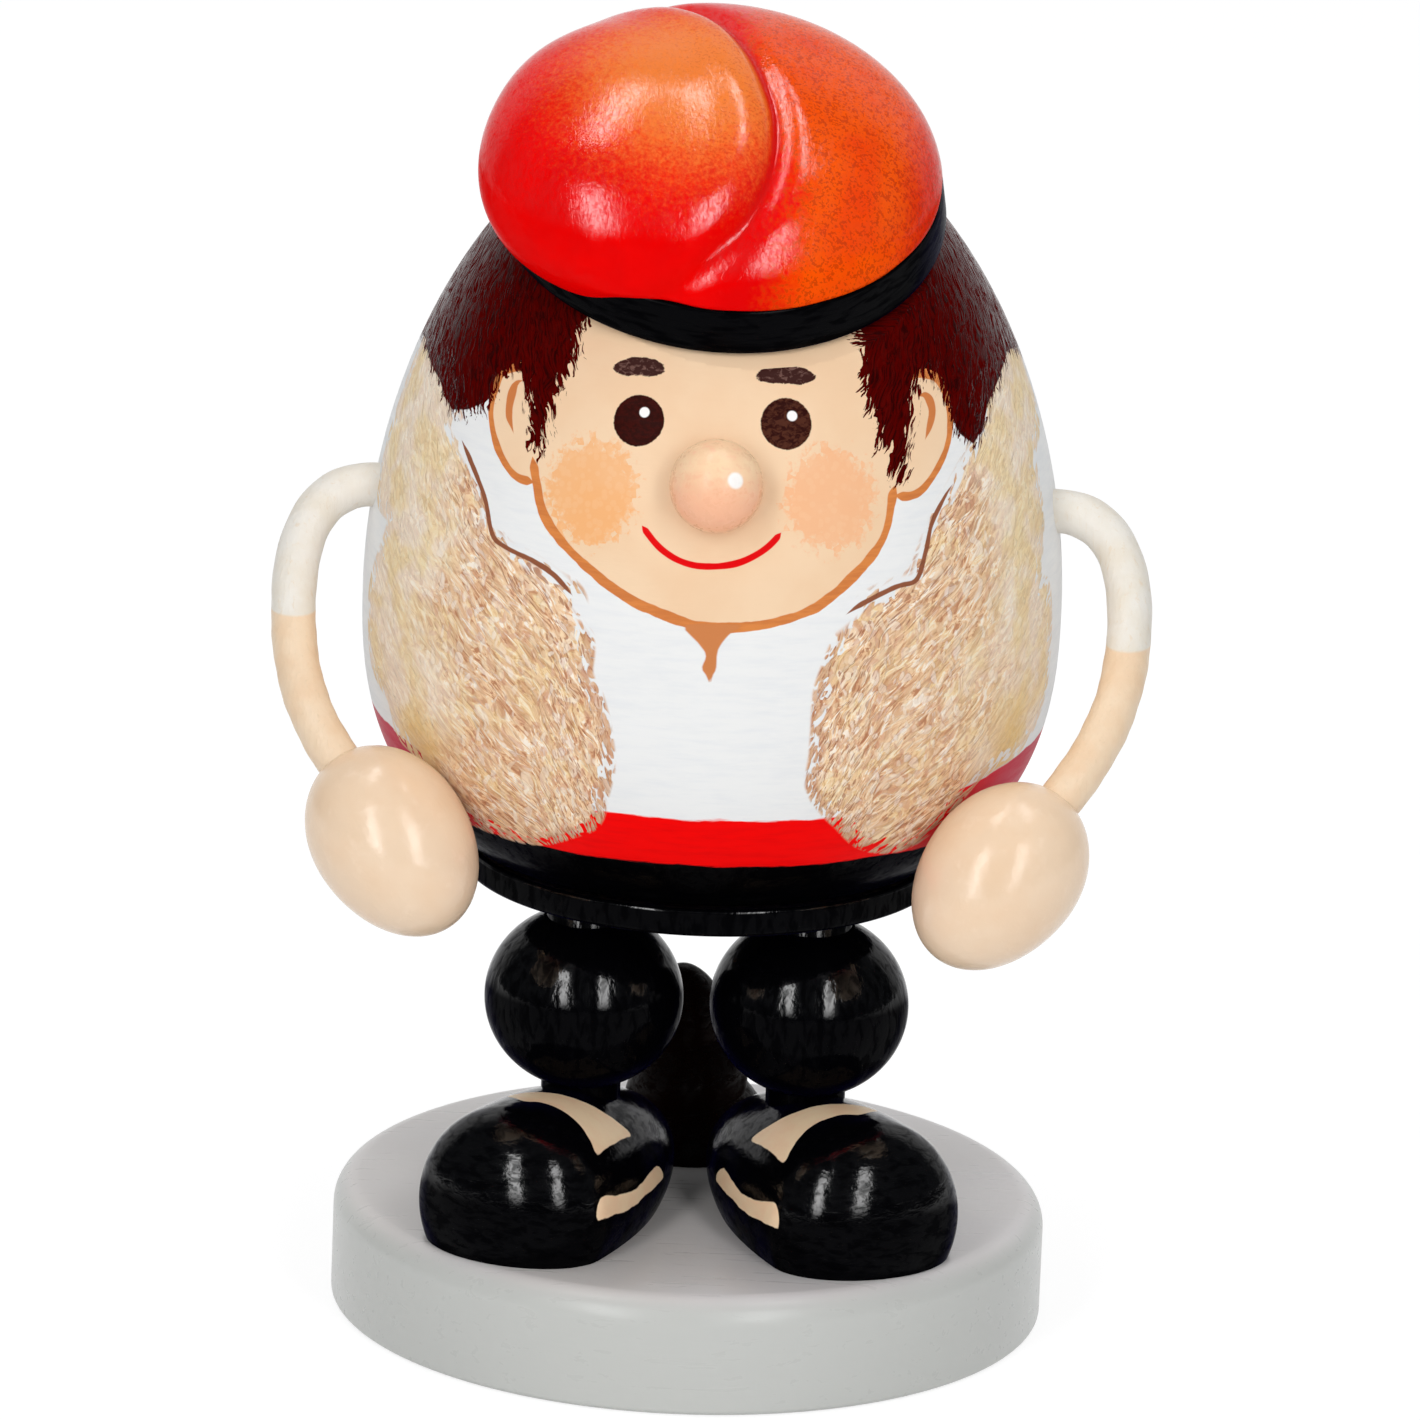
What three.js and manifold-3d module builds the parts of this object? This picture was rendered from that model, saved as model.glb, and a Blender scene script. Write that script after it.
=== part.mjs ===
// An incense smoker: a squatting turned-wood figure with a red cap on a round base.
// The egg-shaped body is hollow and lifts off a seat plate, which carries the dish for the cone.
// Millimetres, +Z up, origin at the centre of the base's underside. The figure faces -Y.
// Left and right are the figure's own, so its left side is at +X.
import * as THREE from 'three';
import { mergeVertices } from 'three/addons/utils/BufferGeometryUtils.js';
import Module from 'manifold-3d';

const wasm = await Module();
wasm.setup();

// Clearances
const GLUE_GAP = 0.3; // round a dowel in its hole, and between glued faces
const SEAT_GAP = 0.3; // under the body's rim and round the spigot

// Base
const BASE_R = 36;
const BASE_H = 12;
const BASE_TOP_ROUND = 2.8;
const BASE_FOOT_ROUND = 0.6;

// Shoes: egg-shaped turnings laid on their side and cut flat for a sole
const TOE_R = 10.3;
const TOE_LENGTH = 7.6; // from the widest place to the tip of the toe
const HEEL_LENGTH = 27.8; // from the widest place to the back of the heel
const HEEL_POWER = 2;
const SHOE_AXIS_H = 4.1; // height of the turning's axis over the sole
const SHOE_TURN = 26.9; // degrees that the toe points outward
const SHOE_AHEAD = 13; // from the leg to the widest place, along the shoe

// Legs: a dowel with a threaded ball for each bent knee
const LEG_R = 4;
const LEG_X = 11.3;
const LEG_Y = -8.8;
const LEG_IN_BASE = 5;
const LEG_IN_PLATE = 5;
const KNEE_R = 10;
const KNEE_H = 18.6;
const KNEE_TO_PLATE = 2.2;

// Seat plate with the spigot that centres the body
const PLATE_R = 24.4;
const PLATE_T = 2.9;
const PLATE_ROUND = 0.8;
const SPIGOT_H = 4.2;
const SPIGOT_CHAMFER = 0.6;
const AIR_HOLE_R = 2;
const AIR_HOLE_RING = 14.2; // from the middle of the plate
const AIR_HOLE_ANGLES = [20, 90, 160]; // degrees from +X

// Dish of pressed sheet metal and the round-head nail that holds it
const DISH_R = 11;
const DISH_FLOOR_R = 8.6;
const DISH_H = 1.8;
const DISH_SHEET = 0.5;
const NAIL_R = 0.8;
const NAIL_HEAD_R = 1.9;
const NAIL_HEAD_H = 0.9;
const NAIL_EDGE_R = 1.5; // where the head's side turns into its top
const NAIL_EDGE_H = 0.55;
const NAIL_CROWN_R = 0.8;
const NAIL_LENGTH = 5;

// Body: an egg of revolution, hollow from below
const BODY_R = 35;
const BODY_LOW_H = 25.4; // from the rim to the widest place
const BODY_LOW_REACH = 30.2; // from the widest place to where the lower curve would close
const BODY_LOW_POWER = 2.6;
const BODY_TOP_H = 51.1; // from the widest place to where the upper curve closes
const BODY_TOP_POWER = 1.93;
const BORE_R = 20;
const BORE_H = 50;
const BORE_ROUND = 5;
const OUTLET_R = 3.5; // smoke hole in the back
const OUTLET_UP = 41; // height over the body's rim

// Nose: a ball with a short peg
const NOSE_R = 4.6;
const NOSE_UP = 45.5; // height over the rim of the place where the ball's axis leaves the body
const NOSE_OUT = 1.9; // from the body's surface to the ball's centre
const NOSE_PEG_R = 1.5;
const NOSE_PEG_LENGTH = 9; // from the ball's centre

// Arms of bent cane and egg-shaped hands
const ARM_R = 2.25;
const ARM_HOLE_DEPTH = 7;
const ARM_UPPER_EASE = 0.42; // how gently the cane bends, as a share of the way from end to end
const ARM_LOWER_EASE = 0.36;
const SHOULDER_UP = 36.1;
const SHOULDER_FRONT = 3; // ahead of the body's axis
const ELBOW_OUT = 7.6; // from the shoulder's place on the body
const ELBOW_DOWN = 9.4;
const ELBOW_FRONT = 6.8; // ahead of the shoulder
const ELBOW_FALL = 57; // degrees that the cane falls there, towards the front
const HAND_R = 7.8;
const HAND_LENGTH = 20.4;
const HAND_WIDEST = 0.46; // share of the length from the wrist
const HAND_AZIMUTH = { left: 48.4, right: 51 }; // degrees from the front
const HAND_UP = { left: 4.9, right: 5.7 }; // centre over the body's rim
const HAND_INSET = 3.5; // how far the hand tucks in under the body's widest place
const HAND_FALL = 45; // degrees that the hand points down
const HAND_AIM = 34; // degrees that it points forward of straight inward
const ARM_IN_HAND = 5;

// Cap: a band and a crown with its folded tip, set at a slant on a flat of the body
const CAP_TILT = 25.9; // degrees forward
const CAP_LEAN = 4.1; // degrees to the figure's left
const CAP_X = -1;
const CAP_Y = -6;
const CAP_DROP = 9.3; // centre of the band's underside below the uncut top of the body
const BAND_R = 22.7;
const BAND_TOP_R = 21.9;
const BAND_H = 4.9;
const BAND_ROUND = 0.7;
const CROWN_R = 22;
const CROWN_TOP = 15.7; // over the band's underside
const CROWN_CENTRE = 3.9; // height of the dome's centre over the band's underside
const FOLD_X = -4.9; // centre of the folded tip in the cap's own frame
const FOLD_Y = -1.8;
const FOLD_UP = 6;
const FOLD_LONG_R = 20.1; // its three half axes
const FOLD_WIDE_R = 17.4;
const FOLD_HIGH_R = 11.1;
const FOLD_TURN = 41.9; // degrees about the cap's axis
const CAP_PIN_R = 3;
const CAP_PIN_IN_BODY = 7;
const CAP_PIN_IN_CAP = 8;

// Coiled heap behind the heels
const HEAP_Y = 14;
const HEAP_R = 9;
const HEAP_H = 19;
const HEAP_TIP_R = 2.5;
const HEAP_POWER = 1.2; // how fast it narrows upward
const HEAP_TIP_LEAN = 1.4; // the tip leans to the figure's right
const HEAP_TURNS = 3;
const HEAP_GROOVE = 0.15; // depth as a share of the radius

// Facets
const ROUND_SIDES = 52;
const DISH_SIDES = 36;
const BALL_SIDES = 28;
const HAND_SIDES = 24;
const SMALL_SIDES = 20;
const HOLE_SIDES = 16;
const PIN_SIDES = 12;
const ARM_STEPS = 26;

const OVERCUT = 1; // how far a cutting form reaches past the face that it cuts

// Heights that follow from the sizes above
const shoeAxisZ = BASE_H + SHOE_AXIS_H;
const kneeZ = shoeAxisZ + shoeRadius(SHOE_AHEAD - LEG_R - GLUE_GAP) + GLUE_GAP
  + (KNEE_H / 2) * Math.sqrt(1 - ((LEG_R + GLUE_GAP) / KNEE_R) ** 2);
const plateZ = kneeZ + KNEE_H / 2 + KNEE_TO_PLATE;
const plateTopZ = plateZ + PLATE_T;
const rimZ = plateTopZ + SEAT_GAP;
const spigotR = BORE_R - SEAT_GAP;
const dishZ = plateTopZ + SPIGOT_H;

const radians = (degrees) => (degrees * Math.PI) / 180;

// Radius of a shoe at a distance behind its widest place
function shoeRadius(behind) {
  if (behind < 0) return TOE_R * Math.sqrt(Math.max(0, 1 - (behind / TOE_LENGTH) ** 2));
  const share = Math.min(1, behind / HEEL_LENGTH);
  return TOE_R * (1 - share ** HEEL_POWER) ** (1 / HEEL_POWER);
}

// Radius of the body at a height over its rim
function bodyRadius(up) {
  const below = BODY_LOW_H - up;
  const share = below > 0 ? below / BODY_LOW_REACH : -below / BODY_TOP_H;
  const power = below > 0 ? BODY_LOW_POWER : BODY_TOP_POWER;
  return BODY_R * Math.max(0, 1 - Math.min(1, share) ** power) ** (1 / power);
}

// Points of a quarter-round of radius r about (x, y), from one angle to another in degrees
function arc(x, y, r, from, to, steps = 3) {
  const points = [];
  for (let i = 0; i <= steps; i += 1) {
    const angle = radians(from + ((to - from) * i) / steps);
    points.push([x + r * Math.cos(angle), y + r * Math.sin(angle)]);
  }
  return points;
}

// A geometry of positions only, with shared corners merged and empty triangles left out
function weld(geometry) {
  geometry.deleteAttribute('normal');
  geometry.deleteAttribute('uv');
  const merged = mergeVertices(geometry, 1e-4);
  const index = merged.getIndex().array;
  const kept = [];
  for (let i = 0; i < index.length; i += 3) {
    const [a, b, c] = [index[i], index[i + 1], index[i + 2]];
    if (a !== b && b !== c && c !== a) kept.push(a, b, c);
  }
  merged.setIndex(kept);
  return merged;
}

// A closed geometry as a solid that can be cut and joined
function solid(geometry) {
  const closed = weld(geometry);
  const made = new wasm.Manifold(new wasm.Mesh({
    numProp: 3,
    vertProperties: new Float32Array(closed.getAttribute('position').array),
    triVerts: new Uint32Array(closed.getIndex().array),
  }));
  if (made.volume() > 0) return made;
  const index = closed.getIndex().array;
  const turned = new Uint32Array(index.length);
  for (let i = 0; i < index.length; i += 3) turned.set([index[i], index[i + 2], index[i + 1]], i);
  return new wasm.Manifold(new wasm.Mesh({
    numProp: 3,
    vertProperties: new Float32Array(closed.getAttribute('position').array),
    triVerts: turned,
  }));
}

// A solid of revolution about Z from a profile of [radius, height] that starts and ends on the axis
function turning(profile, sides) {
  const points = profile.map(([r, z]) => new THREE.Vector2(r, z));
  return solid(new THREE.LatheGeometry(points, sides).rotateX(Math.PI / 2));
}

// A plain rod about Z
function rod(r, from, to, sides = SMALL_SIDES) {
  return turning([[0, from], [r, from], [r, to], [0, to]], sides);
}

// A solid moved by a matrix
function moved(shape, matrix) {
  const points = shape.getMesh();
  const geometry = new THREE.BufferGeometry();
  geometry.setAttribute('position', new THREE.BufferAttribute(new Float32Array(points.vertProperties), 3));
  geometry.setIndex(Array.from(points.triVerts));
  return solid(geometry.applyMatrix4(matrix));
}

// A matrix that puts +Z along a direction, with the origin at a place
function along(direction, place) {
  const turn = new THREE.Quaternion().setFromUnitVectors(
    new THREE.Vector3(0, 0, 1),
    direction.clone().normalize(),
  );
  return new THREE.Matrix4().compose(place, turn, new THREE.Vector3(1, 1, 1));
}

const shift = (x, y, z) => new THREE.Matrix4().makeTranslation(x, y, z);

function material(color, roughness, metalness = 0) {
  return new THREE.MeshStandardMaterial({ color, roughness, metalness });
}

const PAINT = {
  base: material(0xb5b4b8, 0.45),
  black: material(0x050507, 0.2),
  shirt: material(0xededeb, 0.3),
  skin: material(0xf5d9bc, 0.3),
  nose: material(0xf6c496, 0.3),
  cane: material(0xf2e2cf, 0.5),
  red: material(0xe40404, 0.25),
  heap: material(0x2a1209, 0.3),
  bareWood: material(0xd9b68a, 0.7),
};
const TIN = material(0xb9b4a6, 0.35, 0.9);
const STEEL = material(0x9b9da0, 0.3, 0.9);

function piece(name, shape, finish) {
  const points = shape.getMesh();
  const geometry = new THREE.BufferGeometry();
  geometry.setAttribute('position', new THREE.BufferAttribute(new Float32Array(points.vertProperties), 3));
  geometry.setIndex(Array.from(points.triVerts));
  geometry.computeVertexNormals();
  const mesh = new THREE.Mesh(geometry, finish);
  mesh.name = name;
  return mesh;
}

function makeBase() {
  const disc = turning([
    [0, 0],
    ...arc(BASE_R - BASE_FOOT_ROUND, BASE_FOOT_ROUND, BASE_FOOT_ROUND, -90, 0, 2),
    ...arc(BASE_R - BASE_TOP_ROUND, BASE_H - BASE_TOP_ROUND, BASE_TOP_ROUND, 0, 90, 4),
    [0, BASE_H],
  ], ROUND_SIDES);
  const hole = rod(LEG_R + GLUE_GAP, BASE_H - LEG_IN_BASE - GLUE_GAP, BASE_H + OVERCUT);
  return disc
    .subtract(moved(hole, shift(LEG_X, LEG_Y, 0)))
    .subtract(moved(hole, shift(-LEG_X, LEG_Y, 0)));
}

// One shoe, side +1 for the left and -1 for the right
function makeShoe(side) {
  const profile = [[0, -TOE_LENGTH]];
  const toeSteps = 5;
  for (let i = 1; i <= toeSteps; i += 1) {
    const behind = -TOE_LENGTH * Math.cos((radians(90) * i) / toeSteps);
    profile.push([shoeRadius(behind), behind]);
  }
  const heelSteps = 7;
  for (let i = 1; i < heelSteps; i += 1) {
    const behind = HEEL_LENGTH * Math.sin((radians(90) * i) / heelSteps);
    profile.push([shoeRadius(behind), behind]);
  }
  profile.push([0, HEEL_LENGTH]);
  const turn = radians(SHOE_TURN);
  const back = new THREE.Vector3(-side * Math.sin(turn), Math.cos(turn), 0);
  const widest = new THREE.Vector3(side * LEG_X, LEG_Y, shoeAxisZ)
    .addScaledVector(back, -SHOE_AHEAD);
  const egg = moved(turning(profile, BALL_SIDES), along(back, widest));
  const room = TOE_LENGTH + HEEL_LENGTH;
  const floor = solid(new THREE.BoxGeometry(2 * room, 2 * room, BASE_H)
    .translate(widest.x, widest.y, BASE_H / 2));
  const hole = rod(LEG_R + GLUE_GAP, BASE_H - OVERCUT, shoeAxisZ + 2 * TOE_R);
  return egg.subtract(floor).subtract(moved(hole, shift(side * LEG_X, LEG_Y, 0)));
}

function makeLeg() {
  return rod(LEG_R, BASE_H - LEG_IN_BASE, plateZ + LEG_IN_PLATE);
}

// A knee: a flattened ball bored for the leg
function makeKnee() {
  const profile = [];
  const steps = 12;
  for (let i = 0; i <= steps; i += 1) {
    const angle = radians(-90 + (180 * i) / steps);
    profile.push([KNEE_R * Math.cos(angle), kneeZ + (KNEE_H / 2) * Math.sin(angle)]);
  }
  profile[0][0] = 0;
  profile[steps][0] = 0;
  const hole = rod(LEG_R + GLUE_GAP, kneeZ - KNEE_H, kneeZ + KNEE_H);
  return turning(profile, BALL_SIDES).subtract(hole);
}

function makeSeatPlate() {
  let plate = turning([
    [0, plateZ],
    ...arc(PLATE_R - PLATE_ROUND, plateZ + PLATE_ROUND, PLATE_ROUND, -90, 0, 2),
    ...arc(PLATE_R - PLATE_ROUND / 2, plateTopZ - PLATE_ROUND / 2, PLATE_ROUND / 2, 0, 90, 2),
    [spigotR, plateTopZ],
    [spigotR, dishZ - SPIGOT_CHAMFER],
    [spigotR - SPIGOT_CHAMFER, dishZ],
    [0, dishZ],
  ], ROUND_SIDES);
  const legHole = rod(LEG_R + GLUE_GAP, plateZ - OVERCUT, plateZ + LEG_IN_PLATE + GLUE_GAP);
  plate = plate.subtract(moved(legHole, shift(LEG_X, LEG_Y, 0)));
  plate = plate.subtract(moved(legHole, shift(-LEG_X, LEG_Y, 0)));
  const airHole = rod(AIR_HOLE_R, plateZ - OVERCUT, dishZ + OVERCUT, HOLE_SIDES);
  for (const degrees of AIR_HOLE_ANGLES) {
    const x = AIR_HOLE_RING * Math.cos(radians(degrees));
    const y = AIR_HOLE_RING * Math.sin(radians(degrees));
    plate = plate.subtract(moved(airHole, shift(x, y, 0)));
  }
  const nailEnd = dishZ - NAIL_LENGTH - GLUE_GAP;
  return plate.subtract(rod(NAIL_R + GLUE_GAP, nailEnd, dishZ + OVERCUT, PIN_SIDES));
}

function makeDish() {
  const floorZ = dishZ + DISH_SHEET;
  const hole = NAIL_R + GLUE_GAP;
  const dish = turning([
    [0, dishZ],
    [DISH_FLOOR_R, dishZ],
    [DISH_R - DISH_SHEET, dishZ + DISH_H - DISH_SHEET],
    [DISH_R, dishZ + DISH_H - DISH_SHEET],
    [DISH_R, dishZ + DISH_H],
    [DISH_R - 2 * DISH_SHEET, dishZ + DISH_H],
    [DISH_FLOOR_R - DISH_SHEET, floorZ],
    [0, floorZ],
  ], DISH_SIDES);
  return dish.subtract(rod(hole, dishZ - OVERCUT, floorZ + OVERCUT, PIN_SIDES));
}

function makeNail() {
  const headZ = dishZ + DISH_SHEET;
  return turning([
    [0, dishZ - NAIL_LENGTH],
    [NAIL_R, dishZ - NAIL_LENGTH + NAIL_R],
    [NAIL_R, headZ],
    [NAIL_HEAD_R, headZ],
    [NAIL_EDGE_R, headZ + NAIL_EDGE_H],
    [NAIL_CROWN_R, headZ + NAIL_HEAD_H],
    [0, headZ + NAIL_HEAD_H],
  ], PIN_SIDES);
}

// Where the nose's axis leaves the body, and the way it points
function nosePlace() {
  const r = bodyRadius(NOSE_UP);
  const step = 0.01;
  const slope = (bodyRadius(NOSE_UP + step) - bodyRadius(NOSE_UP - step)) / (2 * step);
  const out = new THREE.Vector3(0, -1, -slope).normalize();
  return { place: new THREE.Vector3(0, -r, NOSE_UP), out };
}

function shoulderX() {
  return Math.sqrt(bodyRadius(SHOULDER_UP) ** 2 - SHOULDER_FRONT ** 2);
}

// The cap's own frame: +Z along its axis, origin at the centre of the band's underside
function capMatrix() {
  const turn = new THREE.Quaternion()
    .setFromAxisAngle(new THREE.Vector3(0, 1, 0), radians(CAP_LEAN))
    .multiply(new THREE.Quaternion().setFromAxisAngle(new THREE.Vector3(1, 0, 0), radians(CAP_TILT)));
  const place = new THREE.Vector3(CAP_X, CAP_Y, BODY_LOW_H + BODY_TOP_H - CAP_DROP);
  return new THREE.Matrix4().compose(place, turn, new THREE.Vector3(1, 1, 1));
}

// The hollow body, in its own frame with the rim at height 0
function makeBody() {
  const profile = [[0, BODY_LOW_H + BODY_TOP_H]];
  const topSteps = 14;
  for (let i = 1; i <= topSteps; i += 1) {
    const up = BODY_LOW_H + BODY_TOP_H * Math.cos((radians(90) * i) / topSteps);
    profile.push([bodyRadius(up), up]);
  }
  const lowSteps = 7;
  for (let i = 1; i <= lowSteps; i += 1) {
    const up = BODY_LOW_H * (1 - Math.sin((radians(90) * i) / lowSteps));
    profile.push([bodyRadius(up), up]);
  }
  profile.push([BORE_R, 0]);
  profile.push(...arc(BORE_R - BORE_ROUND, BORE_H - BORE_ROUND, BORE_ROUND, 0, 90));
  profile.push([0, BORE_H]);
  let body = turning(profile, ROUND_SIDES);

  const cap = capMatrix();
  const above = new THREE.BoxGeometry(4 * BODY_R, 4 * BODY_R, 2 * BODY_R)
    .translate(0, 0, BODY_R - GLUE_GAP)
    .applyMatrix4(cap);
  body = body.subtract(solid(above));
  const pinHole = rod(CAP_PIN_R + GLUE_GAP, -CAP_PIN_IN_BODY - GLUE_GAP, CAP_PIN_R);
  body = body.subtract(moved(pinHole, cap));

  const armHole = rod(ARM_R + GLUE_GAP, -ARM_HOLE_DEPTH - GLUE_GAP, BODY_R);
  for (const side of [-1, 1]) {
    const place = new THREE.Vector3(side * shoulderX(), -SHOULDER_FRONT, SHOULDER_UP);
    body = body.subtract(moved(armHole, along(new THREE.Vector3(side, 0, 0), place)));
  }

  const { place, out } = nosePlace();
  const ballCentre = place.clone().addScaledVector(out, NOSE_OUT);
  const socket = ball(NOSE_R + GLUE_GAP, SMALL_SIDES);
  const pegHole = rod(NOSE_PEG_R + GLUE_GAP, -NOSE_PEG_LENGTH - GLUE_GAP, 0, PIN_SIDES);
  body = body.subtract(moved(socket.add(pegHole), along(out, ballCentre)));

  const outlet = rod(OUTLET_R, 0, 2 * BODY_R, HOLE_SIDES);
  const outletPlace = new THREE.Vector3(0, BORE_R / 2, OUTLET_UP);
  return body.subtract(moved(outlet, along(new THREE.Vector3(0, 1, 0), outletPlace)));
}

function ball(r, sides) {
  const profile = [];
  const steps = sides / 2;
  for (let i = 0; i <= steps; i += 1) {
    const angle = radians(-90 + (180 * i) / steps);
    const onAxis = i === 0 || i === steps;
    profile.push([onAxis ? 0 : r * Math.cos(angle), r * Math.sin(angle)]);
  }
  return turning(profile, sides);
}

function makeNose() {
  const { place, out } = nosePlace();
  const ballCentre = place.clone().addScaledVector(out, NOSE_OUT);
  const shape = ball(NOSE_R, SMALL_SIDES).add(rod(NOSE_PEG_R, -NOSE_PEG_LENGTH, 0, PIN_SIDES));
  return moved(shape, along(out, ballCentre));
}

// Places that the arm and the hand share, in the body's frame
function armPlaces(side) {
  const word = side > 0 ? 'left' : 'right';
  const azimuth = radians(HAND_AZIMUTH[word]);
  const reach = BODY_R + HAND_R - HAND_INSET;
  const hand = new THREE.Vector3(
    side * reach * Math.sin(azimuth),
    -reach * Math.cos(azimuth),
    HAND_UP[word],
  );
  const fall = radians(HAND_FALL);
  const aim = radians(HAND_AIM);
  const point = new THREE.Vector3(
    -side * Math.cos(fall) * Math.cos(aim),
    -Math.cos(fall) * Math.sin(aim),
    -Math.sin(fall),
  );
  const shoulder = new THREE.Vector3(side * shoulderX(), -SHOULDER_FRONT, SHOULDER_UP);
  const elbow = shoulder.clone().add(new THREE.Vector3(side * ELBOW_OUT, -ELBOW_FRONT, -ELBOW_DOWN));
  const wrist = hand.clone().addScaledVector(point, -HAND_LENGTH / 2);
  return { hand, point, shoulder, elbow, wrist };
}

function makeArm(side) {
  const { point, shoulder, elbow, wrist } = armPlaces(side);
  const outward = new THREE.Vector3(side, 0, 0);
  const fall = radians(ELBOW_FALL);
  const down = new THREE.Vector3(0, -Math.cos(fall), -Math.sin(fall));
  const upper = shoulder.distanceTo(elbow) * ARM_UPPER_EASE;
  const lower = elbow.distanceTo(wrist) * ARM_LOWER_EASE;
  const root = shoulder.clone().addScaledVector(outward, -ARM_HOLE_DEPTH);
  const end = wrist.clone().addScaledVector(point, ARM_IN_HAND);
  const path = new THREE.CurvePath();
  path.add(new THREE.LineCurve3(root, shoulder));
  path.add(new THREE.CubicBezierCurve3(
    shoulder,
    shoulder.clone().addScaledVector(outward, upper),
    elbow.clone().addScaledVector(down, -upper),
    elbow,
  ));
  path.add(new THREE.CubicBezierCurve3(
    elbow,
    elbow.clone().addScaledVector(down, lower),
    wrist.clone().addScaledVector(point, -lower),
    wrist,
  ));
  path.add(new THREE.LineCurve3(wrist, end));
  const section = new THREE.Shape();
  section.absarc(0, 0, ARM_R, 0, 2 * Math.PI);
  return solid(new THREE.ExtrudeGeometry(section, {
    steps: ARM_STEPS,
    curveSegments: PIN_SIDES / 2,
    extrudePath: path,
  }));
}

function makeHand(side) {
  const { hand, point } = armPlaces(side);
  const wristPart = HAND_LENGTH * HAND_WIDEST;
  const profile = [];
  const steps = 14;
  for (let i = 0; i <= steps; i += 1) {
    const angle = radians(-90 + (180 * i) / steps);
    const half = angle < 0 ? wristPart : HAND_LENGTH - wristPart;
    const onAxis = i === 0 || i === steps;
    const middle = wristPart - HAND_LENGTH / 2;
    profile.push([onAxis ? 0 : HAND_R * Math.cos(angle), middle + half * Math.sin(angle)]);
  }
  const holeEnd = -HAND_LENGTH / 2 + ARM_IN_HAND + GLUE_GAP;
  const hole = rod(ARM_R + GLUE_GAP, -HAND_LENGTH, holeEnd, HOLE_SIDES);
  const shape = turning(profile, HAND_SIDES).subtract(hole);
  return moved(shape, along(point, hand));
}

function makeCapBand() {
  const band = turning([
    [0, 0],
    ...arc(BAND_R - BAND_ROUND, BAND_ROUND, BAND_ROUND, -90, 0, 2),
    [BAND_TOP_R, BAND_H],
    [0, BAND_H],
  ], ROUND_SIDES);
  return band.subtract(rod(CAP_PIN_R + GLUE_GAP, -OVERCUT, BAND_H + OVERCUT));
}

// The crown: a low dome joined with its folded tip, which hangs over the band on one side
function makeCapCrown() {
  const rise = CROWN_TOP - CROWN_CENTRE;
  const profile = [[0, CROWN_CENTRE]];
  const steps = 9;
  for (let i = 0; i <= steps; i += 1) {
    const angle = radians((90 * i) / steps);
    const r = i === steps ? 0 : CROWN_R * Math.cos(angle);
    profile.push([r, CROWN_CENTRE + rise * Math.sin(angle)]);
  }
  const dome = turning(profile, ROUND_SIDES);
  const fold = moved(ball(1, BALL_SIDES), new THREE.Matrix4().compose(
    new THREE.Vector3(FOLD_X, FOLD_Y, FOLD_UP),
    new THREE.Quaternion().setFromAxisAngle(new THREE.Vector3(0, 0, 1), radians(FOLD_TURN)),
    new THREE.Vector3(FOLD_LONG_R, FOLD_WIDE_R, FOLD_HIGH_R),
  ));
  const under = rod(2 * BODY_R, -BODY_R, 0, PIN_SIDES);
  const bandRoom = rod(BAND_R + GLUE_GAP, -OVERCUT, BAND_H + GLUE_GAP, ROUND_SIDES);
  const pinHole = rod(CAP_PIN_R + GLUE_GAP, 0, CAP_PIN_IN_CAP + GLUE_GAP);
  return dome.add(fold).subtract(under).subtract(bandRoom).subtract(pinHole);
}

// The heap: one coil that winds up to a blunt tip, as a surface about its axis
function makeHeap() {
  const around = HAND_SIDES;
  const rings = 20;
  const tipStart = 1 - HEAP_TIP_R / HEAP_H; // share of the height where the tip begins to close
  const smallest = 0.2; // share of the radius at the last ring
  const positions = [0, 0, 0];
  for (let j = 0; j <= rings; j += 1) {
    const share = j / rings;
    const lean = -HEAP_TIP_LEAN * share ** 2;
    for (let i = 0; i < around; i += 1) {
      const turn = i / around;
      const angle = 2 * Math.PI * turn;
      const cone = HEAP_TIP_R + (HEAP_R - HEAP_TIP_R) * (1 - share) ** HEAP_POWER;
      const phase = Math.abs(Math.sin(Math.PI * (share * HEAP_TURNS - turn)));
      const closing = Math.max(0, (share - tipStart) / (1 - tipStart));
      const round = Math.max(Math.sqrt(1 - closing ** 2), smallest);
      const r = cone * (1 - HEAP_GROOVE * (1 - phase)) * round;
      positions.push(lean + r * Math.cos(angle), r * Math.sin(angle), HEAP_H * share);
    }
  }
  positions.push(-HEAP_TIP_LEAN, 0, HEAP_H);
  const top = positions.length / 3 - 1;
  const index = [];
  for (let i = 0; i < around; i += 1) {
    const next = (i + 1) % around;
    index.push(0, 1 + next, 1 + i);
    for (let j = 0; j < rings; j += 1) {
      const low = 1 + j * around;
      const high = low + around;
      index.push(low + i, low + next, high + next);
      index.push(low + i, high + next, high + i);
    }
    index.push(top, top - around + i, top - around + next);
  }
  const geometry = new THREE.BufferGeometry();
  geometry.setAttribute('position', new THREE.Float32BufferAttribute(positions, 3));
  geometry.setIndex(index);
  return solid(geometry);
}

const smoker = new THREE.Group();

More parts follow.
